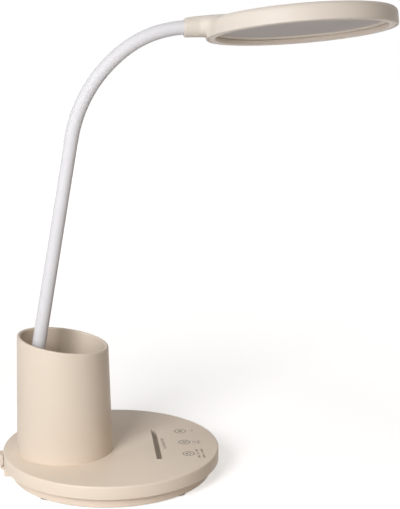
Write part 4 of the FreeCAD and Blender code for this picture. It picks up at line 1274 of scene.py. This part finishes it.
# ------------------------------------------------------------------- the studio
@dataclass
class Studio:
    """Camera, pale floor and soft lights."""

    camera_at: Triple = (-88.4, -1039.5, 419.0)
    looks: Triple = (0.1436, 0.9610, -0.2366)
    lens: float = 104.89
    sensor: float = 36.0
    aim: Triple = (0.0, 0.0, 120.0)
    lamps: tuple[tuple[str, Triple, float, float, str], ...] = (
        ("key_light", (-677, -1043, 500), 520, 7.4, "FFFFFF"),
        ("high_light", (-613, -944, 770), 520, 7.2, "FFFFFF"),
        ("side_light", (-1055, -148, 866), 500, 1.3, "FFFFFF"),
        ("right_light", (1058, -611, 565), 700, 1.8, "FFF1E2"),
        ("back_light", (0, 836, 1116), 700, 1.3, "FFFFFF"),
        ("top_light", (0, -45, 1419), 700, 0.9, "FFFFFF"))

    def build(self) -> None:
        """Set the camera, the floor, the lights and the world."""
        scene = bpy.context.scene
        scene.view_settings.view_transform = "Standard"
        self.camera(scene)
        self.floor()
        for lamp in self.lamps:
            self.light(*lamp)
        self.world(scene)

    def camera(self, scene: bpy.types.Scene) -> None:
        """Camera on a long lens, level, looking down at the lamp.

        Args:
            scene: scene that looks through it.
        """
        data = bpy.data.cameras.new("camera")
        data.lens = self.lens
        data.sensor_width = self.sensor
        data.clip_start = 0.01
        data.clip_end = 50.0
        camera = bpy.data.objects.new("camera", data)
        camera.location = Vector(self.camera_at) * MM
        camera.rotation_euler = Vector(self.looks).to_track_quat("-Z", "Y").to_euler()
        scene.collection.objects.link(camera)
        scene.camera = camera

    @staticmethod
    def floor() -> None:
        """Pale floor that reads as white to the camera and keeps the lamp's shadow."""
        clear()
        bpy.ops.mesh.primitive_plane_add(size=3.0)
        floor = bpy.context.object
        floor.name = "floor"
        material, tree, surface = fresh("Floor_paper")
        place = add_node(tree, "ShaderNodeTexCoord").outputs["Object"]
        away = add_node(tree, "ShaderNodeVectorMath", {"operation": "LENGTH"}, None, {0: place})
        fade = add_node(tree, "ShaderNodeMapRange", None,
                        {"From Min": 0.25, "From Max": 1.0, "To Min": 0.55, "To Max": 1.0},
                        {"Value": away.outputs["Value"]})
        pale = add_node(tree, "ShaderNodeBsdfDiffuse", None, {"Color": linear("F2F2F2")})
        glow = add_node(tree, "ShaderNodeEmission", None, None,
                        {"Strength": fade.outputs["Result"]})
        both = add_node(tree, "ShaderNodeAddShader", None, None,
                        {0: pale.outputs[0], 1: glow.outputs[0]})
        dim = add_node(tree, "ShaderNodeBsdfDiffuse", None, {"Color": linear("CBC9C7")})
        seen = add_node(tree, "ShaderNodeMixShader", None, None,
                        {0: Studio.in_view(tree), 1: dim.outputs[0], 2: both.outputs[0]})
        tree.links.new(seen.outputs[0], surface)
        floor.data.materials.append(material)

    def light(self, name: str, place: Triple, size: float, power: float, colour: str) -> None:
        """Square soft light that faces the lamp.

        Args:
            name: name of the light.
            place: where it stands, in millimetres.
            size: width of its face.
            power: its power in watts.
            colour: its colour.
        """
        data = bpy.data.lights.new(name, "AREA")
        data.size = size * MM
        data.energy = power
        data.color = linear(colour)[:3]
        lamp = bpy.data.objects.new(name, data)
        lamp.location = Vector(place) * MM
        aim = (Vector(self.aim) - Vector(place)).to_track_quat("-Z", "Y")
        lamp.rotation_euler = aim.to_euler()
        bpy.context.scene.collection.objects.link(lamp)

    @staticmethod
    def in_view(tree: bpy.types.NodeTree) -> bpy.types.NodeSocket:
        """Switch for what the camera sees, straight, mirrored or through something clear.

        Args:
            tree: node tree of the floor or the world.

        Returns:
            A value that is 1 for such a ray and 0 for any other.
        """
        ray = add_node(tree, "ShaderNodeLightPath")
        seen = ray.outputs["Is Camera Ray"]
        for kind in ("Is Glossy Ray", "Is Transmission Ray"):
            either = add_node(tree, "ShaderNodeMath", {"operation": "MAXIMUM"}, None,
                              {0: seen, 1: ray.outputs[kind]})
            seen = either.outputs[0]
        return seen

    @staticmethod
    def world(scene: bpy.types.Scene) -> None:
        """Even light from all round, and plain white where the camera sees past the floor.

        Args:
            scene: scene that gets it.
        """
        world = bpy.data.worlds.new("studio")
        scene.world = world
        world.use_nodes = True
        tree = world.node_tree
        tree.nodes.clear()
        ambient = add_node(tree, "ShaderNodeBackground", None,
                           {"Color": linear("F6E4D0"), "Strength": 0.11})
        white = add_node(tree, "ShaderNodeBackground", None,
                         {"Color": (1, 1, 1, 1), "Strength": 1.0})
        mix = add_node(tree, "ShaderNodeMixShader", None, None,
                       {0: Studio.in_view(tree), 1: ambient.outputs[0], 2: white.outputs[0]})
        output = add_node(tree, "ShaderNodeOutputWorld")
        tree.links.new(mix.outputs[0], output.inputs["Surface"])


# ----------------------------------------------------------------------- making
def main() -> None:
    """Build the lamp's visual pieces round the frame."""
    logging.basicConfig(level=logging.INFO, format="%(name)s: %(message)s")
    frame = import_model()
    clear()
    Studio().build()
    dress_inside(frame["nodes"])
    Base().build()
    PenCup().build()
    Marks().build()
    neck = Neck()
    neck.build()
    Head(neck.mouth).build()
    clear()


if __name__ == "__main__":
    main()
